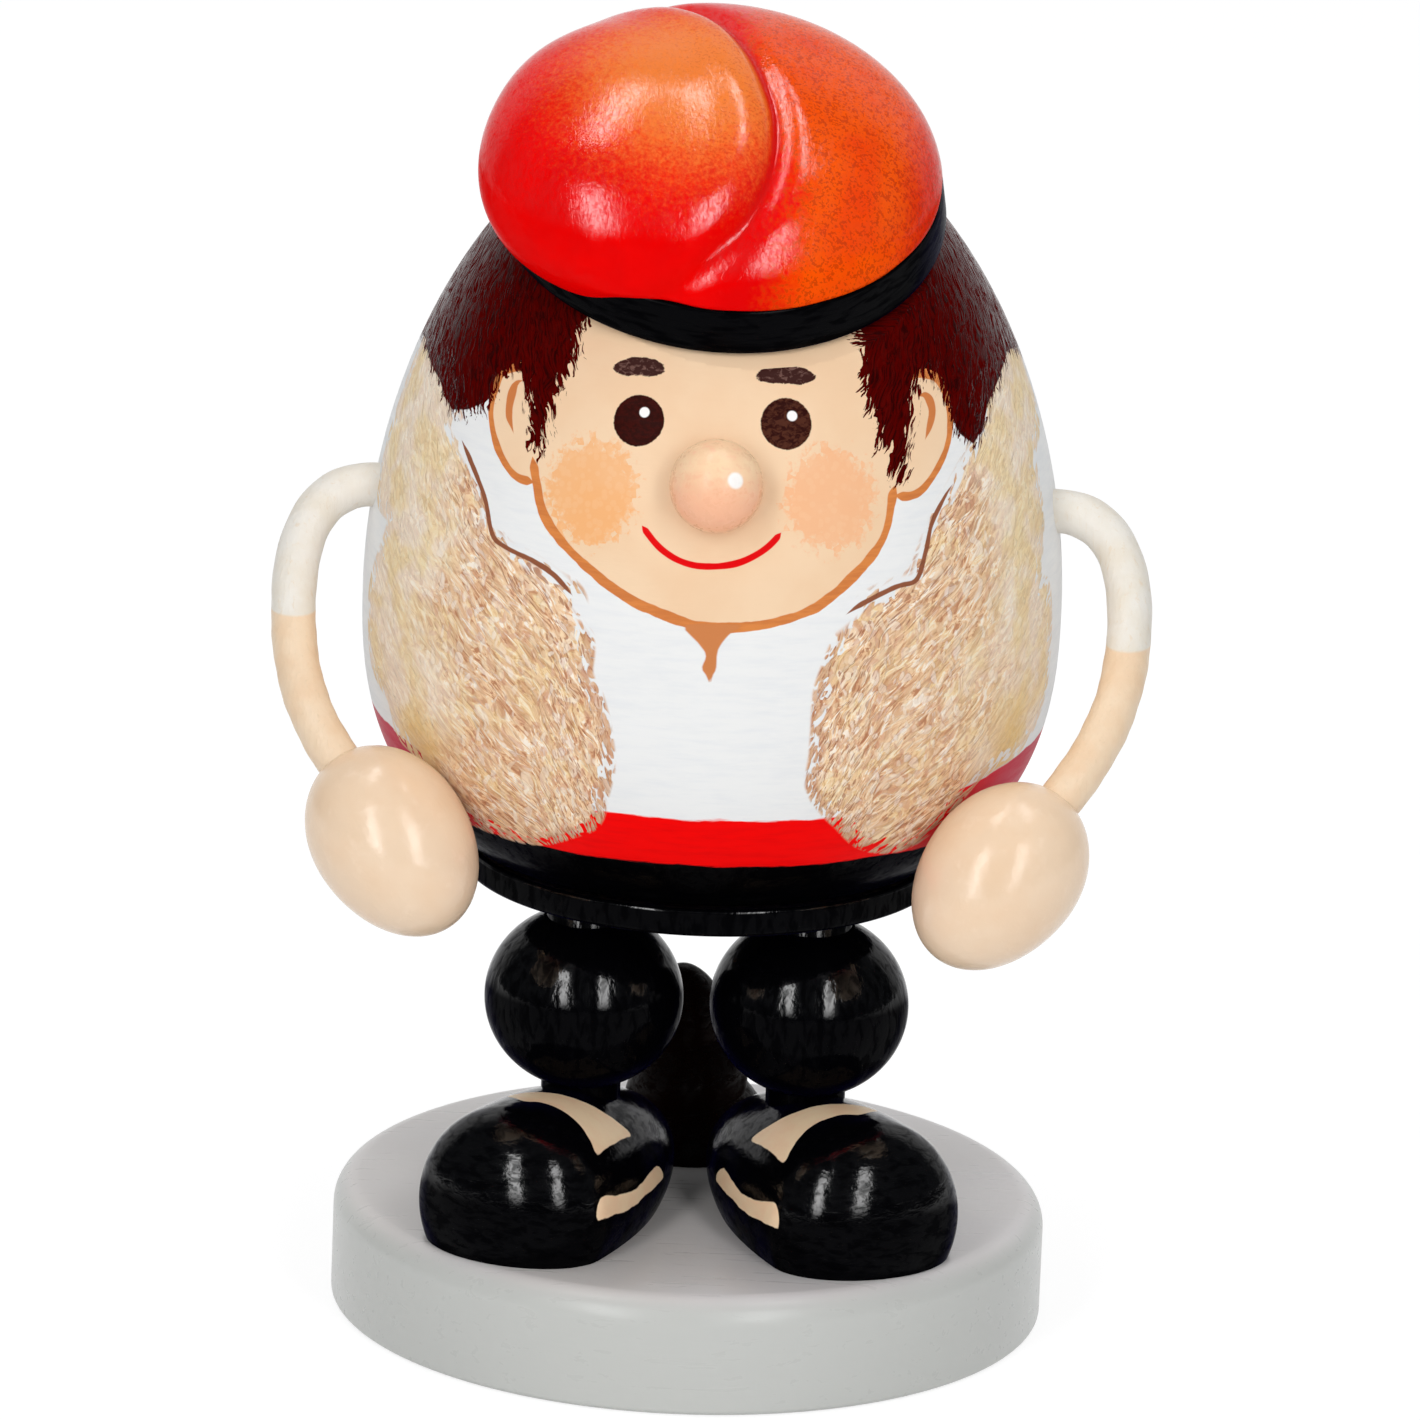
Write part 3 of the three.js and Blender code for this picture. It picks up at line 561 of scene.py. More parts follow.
FLEECE_R = [(58.7, 101), (58.7, 98.1), (52.5, 95.7), (47.5, 93.6), (42.5, 91.2), (38.5, 88), (35.7, 85.3),
            (31.6, 84.3), (26.5, 83.4), (23.2, 81.2), (21.7, 79.4), (19.9, 76.7), (18.9, 74.5), (18.8, 71.2),
            (18.8, 68.3),
            (18.7, 64.9), (21.6, 62.3), (24.8, 60.5), (29.6, 58), (35.6, 56.7), (40.9, 56.8), (44.6, 58.3),
            (51.5, 62.6), (57, 63.8), (66.5, 64.4), (72, 67), (74, 71), (73, 78.6), (68, 81), (72.5, 87), (74, 93),
            (86, 96), (86, 103)]
FLEECE_BACK = [(112, 103), (108, 95), (107, 86), (110, 76), (109, 68), (116, 62.5), (130, 60), (150, 58.5),
               (165, 58.8), (180, 58.2), (200, 58.4), (200, 103)]
VEST_L = [(-54.4, 95.7), (-48.6, 93.4), (-43.3, 90.5), (-40.2, 87.3), (-37, 86.4), (-31.2, 85.7), (-26.6, 84.6),
          (-21.7, 82.2)]
VEST_R = [(48, 94.1), (43.7, 92.4), (39.9, 90.1), (37.9, 87.4), (35.7, 84.9), (31.6, 84.5), (24.8, 83.1),
          (20.4, 81.5)]
COLLAR = [(-4.1, 81.4), (-2, 79.7), (-0.6, 78.5), (-1.2, 77.2), (-0.5, 76.5), (0.2, 75.7), (0.6, 76.5), (1.1, 77.2),
          (1.3, 79.1), (3.1, 80.7), (4.9, 81.6)]
MOUTH = [(-12.7, 90.8), (-8.9, 88.6), (-4.6, 87.4), (-0.1, 87.2), (4.5, 87.7), (8.7, 89), (11.6, 90.7)]
BROW_L = [(-22.5, 104.7), (-20, 105.6), (-17.2, 105.9), (-13.5, 105.8), (-11.2, 105), (-13.5, 104.4),
          (-16.5, 104.3), (-20, 104.2)]
BROW_R = [(7.1, 104.8), (9.5, 105.7), (13.4, 105.9), (17.2, 105.5), (19.6, 104.7), (17, 104.1), (13.2, 104.2),
          (9.5, 104.3)]
# Middles of stains, cheeks and eyes (with the eye's highlight) in the same measures, and their colours
FLEECE_STAINS = ((-57, 62.5), (60, 66))
CHEEKS = (((-22.3, 93.2), (244, 180, 122)), ((20.2, 93.5), (244, 186, 142)))
EYES = (((-15.2, 100.3), (-14.3, 101.1), (60, 10, 4)), ((12.8, 100.6), (14.0, 101.3), (80, 40, 26)))
# The sash rises from 40 to 70 degrees from the front
SASH_Z, SASH_RISE, WAIST_Z = 61.1, 2.2, 55.5
EYE_R, EYE_DOT_R = 2.54, 0.51

# Distances to outlines are worked out for points within REACH mm of their boxes and stored up to FAR mm.
# Between a line's ends, the distance past them is below 0 and stored down to PAST_LEAST mm.
REACH, FAR, PAST_LEAST = 5, 9.0, -4

heights = np.linspace(RIM, BODY_TOP - 0.01, 4000)
radii = body_r(heights)
lengths = np.concatenate([[0], np.cumsum(np.hypot(np.diff(heights), np.diff(radii)))])


def on_plane(points):
    """(degrees, height) on the body as mm round it and mm up along it."""
    theta, z = np.asarray(points, float).T
    return np.column_stack([np.radians(theta) * body_r(z), np.interp(z, heights, lengths)])


def on_body(theta, z):
    """A point of the body's surface in mm."""
    r = float(body_r(z))
    t = math.radians(theta)
    return (r * math.sin(t), -r * math.cos(t), z)


def body_paint():
    p = Paint("painted_costume")
    grain = p.bent(p.attribute("grain", "Vector"), 2.2)
    steep = p.bent(p.attribute("grain_steep", "Vector"), 4.0, 0.3)
    cross = p.bent(p.attribute("grain_cross", "Vector"), 4.0, 0.3)
    hairline = p.noise((3.2, 3.2, 0.36), 2, 0.6, 0.3, grain)
    cloud = p.noise(0.11, 3, 0.55)
    slow = p.noise(0.4, 2)
    fine = p.noise(2.6, 2, 0.6)
    brush = p.noise((0.22, 0.22, 1.5), 3, 0.6, 0.2)
    streaks = p.noise((1.1, 1.1, 0.45), 4, 0.62, 0.5)
    side = p.attribute("side")

    def painted_line(name, half, fade, wobble=0.0):
        """Inside a painted line: near its middle, and thinner toward its ends."""
        width = p.span(p.attribute(name + "_past"), -fade, 0.15, half, -0.12)
        off = p.shifted(p.math("ABSOLUTE", p.attribute(name)), slow, wobble)
        return p.within(p.math("SUBTRACT", off, width), 0.05)

    # shirt, sash and trousers
    c = p.tones(brush, 0.35, 0.8, (238, 238, 237), (232, 233, 234))
    red = p.tones(brush, 0.4, 0.75, (250, 1, 1), (240, 1, 3))
    # painted sheen: the red turns bluish toward the sides, where the backdrop glints at a glancing angle
    red = p.mix(p.span(side, 42, 66), red, (196, 30, 62))
    c = p.mix(p.within(p.shifted(p.attribute("sash"), brush, 0.9), 0.12), c, red)
    trousers = p.within(p.shifted(p.attribute("waist"), brush, 0.9), 0.12)
    # painted sheen: the black turns navy toward the sides, where the backdrop glints at a glancing angle
    c = p.mix(trousers, c, p.tones(side, 25, 70, (2, 2, 3), (8, 7, 26)))

    # fleece of the vest, stippled with a small brush
    fleece_d = p.attribute("fleece")
    brown, brown_tone = p.dabs(steep, 1.2, 0.72, 0.0, 0.62, 0.55)
    peach, peach_tone = p.dabs(grain, 1.1, 0.62, 37.0, 0.72, 0.55)
    light, light_tone = p.dabs(cross, 1.3, 0.8, 71.0, 0.36, 0.52)
    rose, _ = p.dabs(cross, 1.4, 0.9, 91.0, 0.3, 0.5)
    thin, _ = p.dabs(steep, 2.6, 0.8, 113.0, 0.42, 0.45)
    outer = p.span(p.shifted(side, cloud, 30), 44, 60)
    core = p.within(p.shifted(p.shifted(fleece_d, slow, 1.8), peach_tone, 2.0), 0.08)
    loose = p.times(p.math("MAXIMUM", brown, peach), p.within(p.math("SUBTRACT", fleece_d, 1.2), 0.2))
    clear = p.span(p.math("ABSOLUTE", p.attribute("vest")), 0.6, 1.4)
    fleece = p.math("MAXIMUM", core, p.times(loose, clear))
    rim = p.span(fleece_d, -9.0, -1.0, 0.2, 1.0)
    daubs = p.noise((1.15, 1.15, 0.7), 3, 0.66, 0.9, steep)
    f = (196, 138, 102)
    for a, tone in ((0.39, (230, 184, 144)), (0.46, (246, 212, 172)), (0.54, (255, 242, 226))):
        f = p.mix(p.span(daubs, a, a + 0.03), f, tone)
    f = p.mix(p.span(p.noise(0.28, 3), 0.5, 0.62, 0.0, 0.4), f, (242, 216, 156))
    f = p.mix(p.times(brown, 0.5), f, p.mix(brown_tone, (210, 152, 114), (180, 124, 92)))
    f = p.mix(p.times(peach, 0.5), f, p.mix(peach_tone, (250, 222, 184), (232, 190, 150)))
    f = p.mix(p.times(rose, 0.5), f, (214, 160, 132))
    f = p.mix(p.times(light, 0.5), f, p.mix(light_tone, (255, 244, 234), (248, 222, 190)))
    f = p.mix(p.times(p.times(thin, rim), 0.75), f, (168, 108, 76))
    f = p.mix(p.span(fleece_d, -0.5, 0.3, 0.0, 0.45), f, (188, 128, 96))
    pale = p.mix(p.span(p.noise(0.24, 3), 0.42, 0.62), (252, 240, 222), (246, 226, 180))
    f = p.mix(p.times(outer, 0.64), f, pale)
    for place in FLEECE_STAINS:
        f = p.mix(p.span(p.near(on_body(*place), (1, 1, 0.7)), 1.0, 5.0, 0.55, 0.0), f, (238, 200, 116))
    c = p.mix(fleece, c, f)
    c = p.mix(painted_line("vest", 0.27, 3.5, 0.3), c, (146, 88, 62))
    maroon = p.tones(hairline, 0.42, 0.62, (80, 3, 2), (46, 2, 2))
    c = p.mix(p.within(p.attribute("hair"), 0.08), c, maroon)

    # face and ears
    skin = p.tones(cloud, 0.35, 0.7, (243, 211, 176), (240, 204, 167))
    ears = p.within(p.attribute("ears"), 0.08)
    c = p.mix(p.math("MAXIMUM", p.within(p.attribute("face"), 0.08), ears), c, skin)
    sponge, sponge_tone = p.dabs(p.mm, 1.5, 1.5, 9.0, 0.7, 0.5)
    for place, tone in CHEEKS:
        d = p.shifted(p.near(on_body(*place), (1, 1, 0.93)), sponge_tone, 1.6)
        d = p.shifted(d, fine, 2.4)
        patch = p.times(p.fade(d, 4.0, 5.3), p.span(cloud, 0.3, 0.6, 0.8, 1.0))
        c = p.mix(patch, c, p.mix(p.times(sponge, 0.18), tone, (248, 206, 162)))
    tan = p.tones(brush, 0.35, 0.65, (220, 136, 72), (206, 122, 66))
    c = p.mix(painted_line("face_line", 0.5, 1.5, 0.5), c, tan)
    c = p.mix(painted_line("ear_line", 0.42, 1.2, 0.35), c, tan)
    c = p.mix(painted_line("inner_ear", 0.5, 3.0, 0.3), c, (208, 126, 72))
    c = p.mix(p.within(p.attribute("collar"), 0.1), c, (207, 130, 78))

    # brows, eyes and mouth
    hatch = p.noise((1.6, 1.6, 2.6), 3, 0.6, 0.6, turn=(0.0, 0.7, 0.0))
    brow = p.shifted(p.attribute("brows"), hatch, 0.5)
    c = p.mix(p.within(brow, 0.06), c, p.tones(hatch, 0.5, 0.66, (62, 32, 28), (112, 80, 72)))
    for place, dot, tone in EYES:
        d = p.shifted(p.near(on_body(*place)), fine, 0.2)
        iris = p.mix(p.span(hatch, 0.4, 0.62), (46, 8, 3), tone)
        c = p.mix(p.fade(d, EYE_R - 0.06, EYE_R + 0.06), c, iris)
        c = p.mix(p.fade(p.near(on_body(*dot)), EYE_DOT_R - 0.07, EYE_DOT_R + 0.07), c, (250, 248, 246))
    c = p.mix(painted_line("mouth", 0.34, 0.9, 0.12), c, (228, 8, 14))

    # hair
    strand, strand_tone = p.dabs(grain, 2.7, 0.45, 151.0, 0.6, 0.5)
    spiky = p.shifted(p.shifted(p.attribute("hair"), strand_tone, 1.3), hairline, 3.6)
    hair = p.within(p.math("SUBTRACT", spiky, 0.2), 0.08)
    c = p.mix(hair, c, p.mix(p.times(strand, 0.3), maroon, (96, 14, 10)))

    p.colour(c)
    shiny = p.math("MAXIMUM", trousers, hair)
    p.rough(p.mix_value(shiny, p.span(brush, 0.3, 0.75, 0.36, 0.46), p.span(streaks, 0.3, 0.7, 0.1, 0.17)))
    coat = p.mix_value(hair, p.thick_coat(streaks, 0.4), p.span(hairline, 0.44, 0.62, 0.0, 0.1))
    p.gloss(p.mix_value(shiny, 0.04, coat))
    relief = p.times(fleece, p.plus(p.plus(peach, light), brown))
    relief = p.plus(relief, p.times(hair, hairline))
    p.bump((brush, 0.03), (relief, 0.05), (p.times(trousers, streaks), 0.03), (p.noise(0.7, 2), 0.03))
    return p


# ---------------------------------------------------------------- the cap's own frame
CAP_PLACE = Vector((-1, -6, BODY_TOP - 9.3))
CAP_TURN = Quaternion((0, 1, 0), math.radians(4.1)) @ Quaternion((1, 0, 0), math.radians(25.9))
CAP = at(*CAP_PLACE) @ CAP_TURN.to_matrix().to_4x4()
BAND_R, BAND_TOP_R, BAND_H = 22.7, 21.9, 4.9
DOME_AXES = np.array([22, 22, 11.8])
DOME_CENTRE = np.array([0, 0, 3.9])
FOLD_CENTRE = np.array([-4.9, -1.8, 6])
FOLD_AXES = np.array([20.1, 17.4, 11.1])
FOLD_TURN = math.radians(41.9)
SHOULDER_AT, SHOULDER_R, SHOULDER_SWELL = np.array([-18.9, 6.8, 10]), 8.5, 0.9
CREASE = curve_through([(-13, 18.5), (-7, 16), (-2, 11.3), (1.1, 6), (3.4, 0), (4.6, -4.5), (4.7, -9.5),
                        (3.7, -13.5), (1.9, -16.7), (-1.6, -19.6), (-5.6, -21.1), (-10, -21.9)], 3)


def egg_distance(q, axes):
    """About how far points are from an ellipsoid round the origin, below 0 inside it."""
    k = np.linalg.norm(q / axes, axis=1)
    g = np.linalg.norm(q / axes**2, axis=1)
    return k * (k - 1) / np.maximum(g, 1e-9)


def smooth_min(a, b, k):
    """The lesser of two distances, rounded where they differ by less than k."""
    h = np.maximum(k - np.abs(a - b), 0) / k
    return np.minimum(a, b) - h * h * k / 4


def hill(x, width):
    """1 at 0, falling off on both sides."""
    return np.exp(-((x / width) ** 2))


def crease_fields(q):
    """Seen in the cap's plan, how far to the side of the crease points lie, over 0 on the dome, and how far
    along it as a share."""
    _, aside, where = nearest(q[:, :2], CREASE)
    return aside, where / (len(CREASE) - 1)


def crown_distance(q):
    """Distance to the crown's skin: the dome and the folded tip joined, less the crease, plus the tip's swell."""
    dome = egg_distance(q - DOME_CENTRE, DOME_AXES)
    c, s = math.cos(FOLD_TURN), math.sin(FOLD_TURN)
    x, y, z = (q - FOLD_CENTRE).T
    fold = egg_distance(np.column_stack([c * x + s * y, -s * x + c * y, z]), FOLD_AXES)
    dome = -smooth_min(-dome, q[:, 2] - BAND_H, 0.5)
    fold = -smooth_min(-fold, q[:, 2] - 0.35, 2.4)
    off, share = crease_fields(q)
    depth = np.interp(share, (0, 0.12, 0.6, 0.8, 1), (0, 0.95, 0.9, 0.6, 0.2)) * np.clip((q[:, 2] - 4) / 3, 0, 1)
    groove = np.where(off > 0, hill(off, 1.7), hill(off, 0.9) - 0.5 * hill(off + 3.2, 2.2))
    swell = SHOULDER_SWELL * np.exp(-(((q - SHOULDER_AT) / SHOULDER_R) ** 2).sum(axis=1))
    return smooth_min(dome, fold, 1.6) + depth * groove - swell


def crown_mesh():
    """The crown as rays from its middle to the skin of the joined dome and tip."""
    centre, far_out, halvings = np.array([-3.5, -2.5, 8.5]), 45.0, 34
    columns, rows = 400, 210
    tilt = np.linspace(0, math.pi, rows + 1)[1:-1]
    tt, aa = (grid.ravel() for grid in np.meshgrid(tilt, even(columns), indexing="ij"))
    rays = np.column_stack([np.sin(tt) * np.cos(aa), np.sin(tt) * np.sin(aa), -np.cos(tt)])
    rays = np.vstack([[0, 0, -1], rays, [0, 0, 1]])
    low, high = np.zeros(len(rays)), np.full(len(rays), far_out)
    for _ in range(halvings):
        mid = (low + high) / 2
        out = crown_distance(centre + rays * mid[:, None]) > 0
        high = np.where(out, mid, high)
        low = np.where(out, low, mid)
    return centre + rays * low[:, None], closed_faces(rows - 1, columns)


def crown_paint():
    p = Paint("red_lacquer_airbrushed", own=True)
    cloud = p.noise(0.13, 3, 0.55)
    speck = p.noise(1.7, 2, 0.6)
    spray = p.noise(3.4, 2, 0.6)
    grain = p.noise((1.0, 0.4, 0.6), 4, 0.66, 0.6, turn=(0, 0, 0.3))
    x, y, _ = p.split(p.mm)
    side = p.attribute("fold")
    on_dome = p.span(side, 0.0, 0.8)
    on_fold = p.fade(side, -0.8, 0.0)

    c = p.tones(cloud, 0.35, 0.7, (238, 2, 2), (226, 2, 3))
    # orange sprayed over the dome, away from the tip
    edge = p.plus(p.shifted(p.shifted(x, speck, 7.0), cloud, 4.0), p.span(y, -12, 2, 0.0, 5.5))
    sprayed = p.times(p.span(edge, 4.5, 9.5), on_dome)
    orange = p.tones(cloud, 0.4, 0.7, (248, 86, 2), (242, 66, 1))
    orange = p.mix(p.span(p.shifted(x, speck, 5.0), 16.0, 21.0), orange, (226, 36, 8))
    c = p.mix(sprayed, c, orange)
    spots = p.times(p.span(p.shifted(speck, spray, 0.9), 0.54, 0.64), sprayed)
    c = p.mix(p.times(spots, 0.6), c, (186, 50, 4))
    # and over the top of the tip
    d = p.near((-4.0, -0.5, 16), (1 / 16.0, 1 / 16.5, 1 / 60.0))
    d = p.shifted(p.shifted(d, speck, 0.5), spray, 0.25)
    sprayed = p.times(p.fade(d, 0.5, 1.08), on_fold)
    glow = p.tones(d, 0.25, 0.9, (246, 128, 52), (244, 84, 30))
    c = p.mix(sprayed, c, glow)
    spots = p.times(p.span(spray, 0.55, 0.62), p.span(x, -9, 0, 0.25, 0.8))
    c = p.mix(p.times(p.times(spots, sprayed), 0.5), c, (196, 78, 18))
    # painted shade: a darker red along the crease, weaker toward its lower end
    crease = p.fade(p.math("ABSOLUTE", side), 0.0, 0.9)
    c = p.mix(p.times(crease, p.span(y, -20, -12, 0.3, 0.9)), c, (214, 8, 2))
    p.colour(c)
    crackle = p.noise((2.0, 1.0, 1.2), 4, 0.7, 1.0, turn=(0, 0, 0.3))
    p.rough(p.span(grain, 0.3, 0.7, 0.1, 0.17))
    p.gloss(p.thick_coat(crackle, 1.0))
    p.bump((grain, 0.03), (crackle, 0.018), (spray, 0.012))
    return p


# ---------------------------------------------------------------- stand
# Base: a turned disc with rounded edges
profile = [(0, 0), (30, 0)]
profile += arc(BASE_R - 0.6, 0.6, 0.6, -90, 0, 5)
profile += arc(BASE_R - 2.8, BASE_H - 2.8, 2.8, 0, 90, 14)
profile += [(r, BASE_H) for r in (30, 24, 16, 8)] + [(0, BASE_H)]
piece("base_disc", *turning(profile, 180), [base_paint()], "stand", ("base",), "base_grey", sharp=60)

# Shoes: egg-shaped turnings, flat for a sole, with two bare patches between black bands.
# The patches' outlines are (mm back from the widest place, degrees from the top toward the inner side).
INSTEP = [(4.8, -23), (5.8, -11), (6.5, 2), (7.7, 23), (9, 40), (9.8, 51), (7.7, 51), (4.3, 51), (1.5, 52),
          (1.8, 45), (2.7, 32), (2.9, 19), (2.6, 5), (2, -4)]
STRIPE = [(13.1, 77), (15, 88), (11.7, 89), (8.2, 89), (5.8, 90), (1.5, 88), (-1.6, 86), (-0.8, 74), (3, 78),
          (6.1, 81), (8.5, 80)]


def shoe_paint():
    p = Paint("black_lacquer_shoe", own=True)
    streaks = p.noise((0.5, 1.15, 0.7), 4, 0.62, 0.5, turn=(0.0, 0.0, 0.3))
    cloud = p.noise(0.3, 3)
    # (12, 10, 44) is a painted bluish reflection on the shoe's glancing rims
    black = lacquer_colour(p, streaks, cloud, (2, 2, 3), (7, 7, 11), (12, 10, 44))
    tone = p.tones(cloud, 0.35, 0.7, (255, 226, 188), (252, 214, 176))
    patch = p.within(p.shifted(p.attribute("patch"), cloud, 0.7), 0.07)
    p.colour(p.mix(patch, black, tone))
    p.rough(p.mix_value(patch, p.span(streaks, 0.3, 0.75, 0.09, 0.14), 0.4))
    p.gloss(p.mix_value(patch, p.thick_coat(streaks, 0.7), 0.2))
    p.bump((streaks, 0.045), (p.noise(2.2, 2), 0.01))
    return p


SOLE_GAP = 0.02
steps = [-TOE_LENGTH * math.cos(t) for t in np.linspace(0, math.pi / 2, 40)[:-1]]
steps += [HEEL_LENGTH * math.sin(t) for t in np.linspace(0, math.pi / 2, 110)]
profile = [(float(shoe_r(s)) if 0 < i < len(steps) - 1 else 0, s) for i, s in enumerate(steps)]
shoe_material = shoe_paint()
turn = math.radians(SHOE_TURN)
for side, word in ((1, "left"), (-1, "right")):
    back = Vector((-side * math.sin(turn), math.cos(turn), 0))
    inward = Vector((-side * math.cos(turn), -math.sin(turn), 0))
    widest = Vector((side * LEG_X, LEG_Y, SHOE_Z)) - back * SHOE_AHEAD
    place = framed(inward, back.cross(inward), back, widest * MM)
    shoe = piece(f"shoe_{word}_painted", *turning(profile, 160), [shoe_material], "stand", (f"shoe_{word}",),
                 "black_gloss", place)
    sole = Vector((widest.x, widest.y, BASE_H + SOLE_GAP)) * MM
    slice_off(shoe, place.inverted() @ sole / MM, place.inverted().to_3x3() @ Vector((0, 0, -1)))
    world = np.array([(place @ Vector(v * MM)) / MM for v in places(shoe.data.vertices)])
    rel = world - np.array(widest)
    across = rel @ np.array(inward)
    around = np.hypot(across, rel[:, 2]) * np.arctan2(across, rel[:, 2])
    flat = np.column_stack([rel @ np.array(back), around])
    best = np.full(len(flat), FAR)
    for outline in (INSTEP, STRIPE):
        s, degrees = np.array(outline, float).T
        shape = curve_through(np.column_stack([s, shoe_r(s) * np.radians(degrees)]), 4, True)
        best = np.minimum(best, signed_distance(flat, shape))
    store(shoe.data, "patch", best)
    smooth(shoe.data, 50)
    settle(shoe)

# Legs and knees
low, high = BASE_H - LEG_SUNK, PLATE_Z + LEG_SUNK
dowel = [(0, low), (LEG_R - 0.5, low), (LEG_R, low + 0.5), (LEG_R, high - 0.5), (LEG_R - 0.5, high), (0, high)]
lean = math.acos(LEG_HOLE_R / KNEE_R)
ball = [(KNEE_R * math.cos(t), KNEE_Z + KNEE_H / 2 * math.sin(t)) for t in np.linspace(-lean, lean, 72)]
for side, word in ((1, "left"), (-1, "right")):
    place = at(side * LEG_X, LEG_Y, 0)
    piece(f"leg_{word}_dowel", *turning(dowel, 64), [black_ball], "stand", (f"leg_dowel_{word}",),
          "black_gloss", place, 50)
    piece(f"knee_{word}_ball", *turning(ball, 128, ring=True), [black_ball], "stand", (f"knee_ball_{word}",),
          "black_gloss", place, 50)

# Seat plate with its spigot and air holes. The spigot and the holes' walls are bare.
plate_top = PLATE_Z + PLATE_T
spigot = BORE_R - GAP
profile = [(0, PLATE_Z)] + arc(PLATE_R - 0.8, PLATE_Z + 0.8, 0.8, -90, 0, 6)
profile += arc(PLATE_R - 0.4, plate_top - 0.4, 0.4, 0, 90, 5)
profile += [(spigot, plate_top), (spigot, DISH_Z - 0.6), (spigot - 0.6, DISH_Z), (0, DISH_Z)]
seat = piece("seat_plate_painted", *turning(profile, 144), [black_ball, bare], "stand", ("seat_plate",),
             "black_gloss")
low, high = PLATE_Z - 1, DISH_Z + 1
hole = turning([(0, low), (AIR_HOLE_R, low), (AIR_HOLE_R, high), (0, high)], 32)
for turn in np.radians(AIR_HOLES_AT):
    cut(seat, *hole, at(AIR_HOLE_OUT * math.cos(turn), AIR_HOLE_OUT * math.sin(turn), 0))
for face in seat.data.polygons:
    x, y, z = face.center / MM
    in_hole = math.hypot(x, y) < 17 and abs(face.normal.z) < 0.5
    face.material_index = 1 if z > plate_top + 0.05 or in_hole else 0
smooth(seat.data, 40)


def tin_paint():
    p = Paint("pressed_tin", Metallic=1.0)
    radius = p.radius()
    ring = p.node("ShaderNodeCombineXYZ", {0: p.times(radius, 5.0), 1: 0.0, 2: 0.0})
    rings = p.noise(1.0, 2, vector=ring)
    smoke = p.noise(0.35, 4, 0.6)
    c = p.tones(smoke, 0.4, 0.7, (196, 190, 178), (168, 156, 136))
    p.colour(p.mix(p.span(radius, 1.5, 7.0, 0.6, 0.0), c, (110, 88, 62)))
    p.rough(p.span(rings, 0.3, 0.7, 0.28, 0.5))
    p.bump((rings, 0.03))
    return p


def steel_paint():
    p = Paint("plain_steel", Metallic=1.0)
    scratch = p.noise((4, 4, 1.2), 3)
    p.colour(p.mix(scratch, (150, 152, 156), (120, 116, 112)))
    p.rough(p.span(scratch, 0.3, 0.7, 0.22, 0.45))
    p.bump((scratch, 0.02))
    return p


# Dish: pressed tin with a rolled edge, and the nail through its middle
low, floor_z, edge_r = DISH_Z, DISH_Z + 0.5, 10.75
profile = [(1.1, low), (8.6, low), (9.5, low + 0.55), (10.5, low + 1.3), (edge_r, low + 1.3)]
profile += arc(edge_r, low + 1.55, 0.25, -90, 90, 8)
profile += [(10.0, low + 1.8), (9.6, low + 1.5), (8.6, floor_z + 0.25), (8.1, floor_z), (1.1, floor_z)]
piece("cone_dish_tin", *turning(profile, 120, ring=True), [tin_paint()], "stand", ("cone_dish",), "tin", sharp=50)
profile = [(0, low - 5), (0.3, low - 4.6), (0.8, low - 4.0), (0.8, floor_z), (1.9, floor_z), (1.88, floor_z + 0.2)]
profile += [(1.9 * math.cos(t), floor_z + 0.2 + 0.7 * math.sin(t)) for t in np.linspace(0.2, math.pi / 2, 9)[:-1]]
profile += [(0, floor_z + 0.9)]
piece("dish_nail_steel", *turning(profile, 40), [steel_paint()], "stand", ("dish_nail",), "nail_steel", sharp=45)


# Heap: one coil winding up to a blunt tip
def heap_mesh():
    around, rings = 120, 150
    verts = [(0, 0, 0)]
    close = 1 - HEAP_TIP_R / HEAP_H
    for j in range(rings + 1):
        share = j / rings
        shut = max(0.0, (share - close) / (1 - close))
        for i in range(around):
            turn = i / around
            r = HEAP_TIP_R + (HEAP_R - HEAP_TIP_R) * (1 - share) ** 1.2
            phase = abs(math.sin(math.pi * (share * HEAP_COILS - turn)))
            r *= (1 - 0.15 * (1 - phase**0.8)) * max(math.sqrt(max(0, 1 - shut**2)), 0.06)
            a = 2 * math.pi * turn
            verts.append((HEAP_LEAN * share**2 + r * math.cos(a), r * math.sin(a), HEAP_H * share))
    verts.append((HEAP_LEAN, 0, HEAP_H))
    return verts, closed_faces(rings + 1, around)


piece("coiled_heap_painted", *heap_mesh(), [brown_heap], "stand", ("coiled_heap",), "heap_brown",
      at(0, HEAP_Y, BASE_H), 60)

# ---------------------------------------------------------------- figure
# Body: a hollow egg, painted outside and bare inside. Its faces are finer in front.
theta = np.concatenate([np.arange(-62, 62, 0.4), np.arange(62, 298, 1.0)])
bore_top = RIM + BORE_H
inner = [(0, bore_top)] + [(BORE_R * k, bore_top) for k in (0.25, 0.5)]
inner += arc(BORE_R - BORE_ROUND, bore_top - BORE_ROUND, BORE_ROUND, 90, 0, 8)
inner += [(BORE_R, z) for z in np.linspace(RIM + 40, RIM + 0.6, 12)] + [(BORE_R + 0.5, RIM)]
rim_top = RIM + 0.5
edge = float(body_r(rim_top))
rim_round = [(edge - 1.1, RIM), (edge - 0.7, RIM + 0.06), (edge - 0.35, RIM + 0.22)]
run = np.arange(np.interp(rim_top, heights, lengths), lengths[-1] - 0.2, 0.36)
outer = [(float(body_r(z)), z) for z in np.interp(run, lengths, heights)] + [(0, BODY_TOP)]
verts, faces = revolve(inner + rim_round + outer, np.radians(theta - 90))
body = piece("body_painted", verts, faces, [body_paint(), bore_wood], "figure", ("body_shell",), "painted_body")
